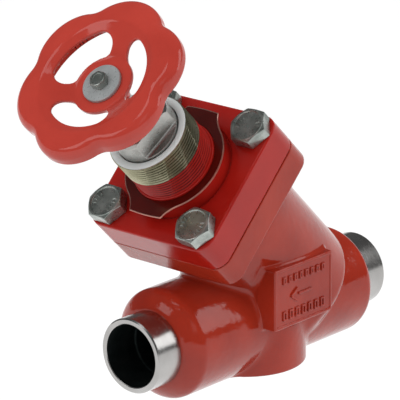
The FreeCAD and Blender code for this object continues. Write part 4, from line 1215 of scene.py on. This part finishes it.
def seen_rays(nodes, links):
    """Sockets that are 1 for camera rays, and for all rays that see, mirror or refract."""
    path = nodes.new("ShaderNodeLightPath")
    either = path.outputs["Is Camera Ray"]
    for kind in ("Is Glossy Ray", "Is Transmission Ray"):
        larger = nodes.new("ShaderNodeMath")
        larger.operation = "MAXIMUM"
        links.new(either, larger.inputs[0])
        links.new(path.outputs[kind], larger.inputs[1])
        either = larger.outputs[0]
    return path.outputs["Is Camera Ray"], either


def add_floor():
    """A wide white floor well below the valve, which keeps the valve's shadow."""
    bpy.ops.mesh.primitive_plane_add(size=60.0, location=(0, 0, FLOOR_Z))
    floor = bpy.context.object
    floor.name = "floor"
    material = new_material("floor_white", (0.85, 0.85, 0.85), roughness=0.9)
    nodes = material.node_tree.nodes
    links = material.node_tree.links
    _, seen = seen_rays(nodes, links)
    strength = nodes.new("ShaderNodeMath")
    strength.operation = "MULTIPLY"
    strength.inputs[1].default_value = FLOOR_GLOW
    links.new(seen, strength.inputs[0])
    shader = shader_of(material)
    shader.inputs["Emission Color"].default_value = (1, 1, 1, 1)
    links.new(strength.outputs[0], shader.inputs["Emission Strength"])
    floor.data.materials.append(material)


def add_world():
    """Even light for matt surfaces. It is seen white, and mirrored it is dark above the horizon."""
    world = bpy.data.worlds.new("studio")
    bpy.context.scene.world = world
    world.use_nodes = True
    nodes = world.node_tree.nodes
    links = world.node_tree.links
    place = nodes.new("ShaderNodeTexCoord")
    split = nodes.new("ShaderNodeSeparateXYZ")
    mirrored = nodes.new("ShaderNodeValToRGB")
    low, high = mirrored.color_ramp.elements
    low.position, low.color = 0.01, (1, 1, 1, 1)
    high.position, high.color = 0.05, (0.1, 0.1, 0.1, 1)
    links.new(place.outputs["Generated"], split.inputs[0])
    links.new(split.outputs["Z"], mirrored.inputs["Fac"])
    camera, seen = seen_rays(nodes, links)
    even = nodes.new("ShaderNodeMixRGB")
    even.inputs["Color1"].default_value = (0.92, 0.92, 0.92, 1)
    links.new(seen, even.inputs["Fac"])
    links.new(mirrored.outputs["Color"], even.inputs["Color2"])
    backdrop = nodes.new("ShaderNodeMixRGB")
    backdrop.inputs["Color2"].default_value = (1, 1, 1, 1)
    links.new(camera, backdrop.inputs["Fac"])
    links.new(even.outputs["Color"], backdrop.inputs["Color1"])
    links.new(backdrop.outputs["Color"], nodes["Background"].inputs["Color"])
    nodes["Background"].inputs["Strength"].default_value = 1.0


def add_softbox(name, place, aim, width, height, radiance, roll=0.0):
    """An area lamp at a place in metres, turned towards a point, as bright as its radiance says."""
    data = bpy.data.lights.new(name, "AREA")
    data.shape = "RECTANGLE"
    data.size = width
    data.size_y = height
    data.energy = radiance * math.pi * width * height
    lamp = bpy.data.objects.new(name, data)
    lamp.location = place
    aimed = (Vector(aim) - Vector(place)).to_track_quat("-Z", "Y")
    lamp.rotation_euler = (aimed @ Quaternion((0, 0, 1), roll)).to_euler()
    bpy.context.scene.collection.objects.link(lamp)


add_floor()
add_world()
add_softbox(
    "softbox_right", (0.268, -0.357, 0.332), (-0.12, -0.02, 0.01),
    width=0.43, height=0.24, radiance=2.0, roll=math.radians(54))
add_softbox("softbox_left", (-0.88, 0.33, 0.58), AIM, width=0.42, height=0.36, radiance=2.0)
add_softbox("softbox_top", (-0.6, 0.08, 0.9), AIM, width=0.34, height=0.3, radiance=2.0)
add_softbox("softbox_front", (-0.75, -0.85, 0.6), AIM, width=0.4, height=0.4, radiance=0.5)
add_camera()
bpy.context.scene.view_settings.view_transform = "Standard"
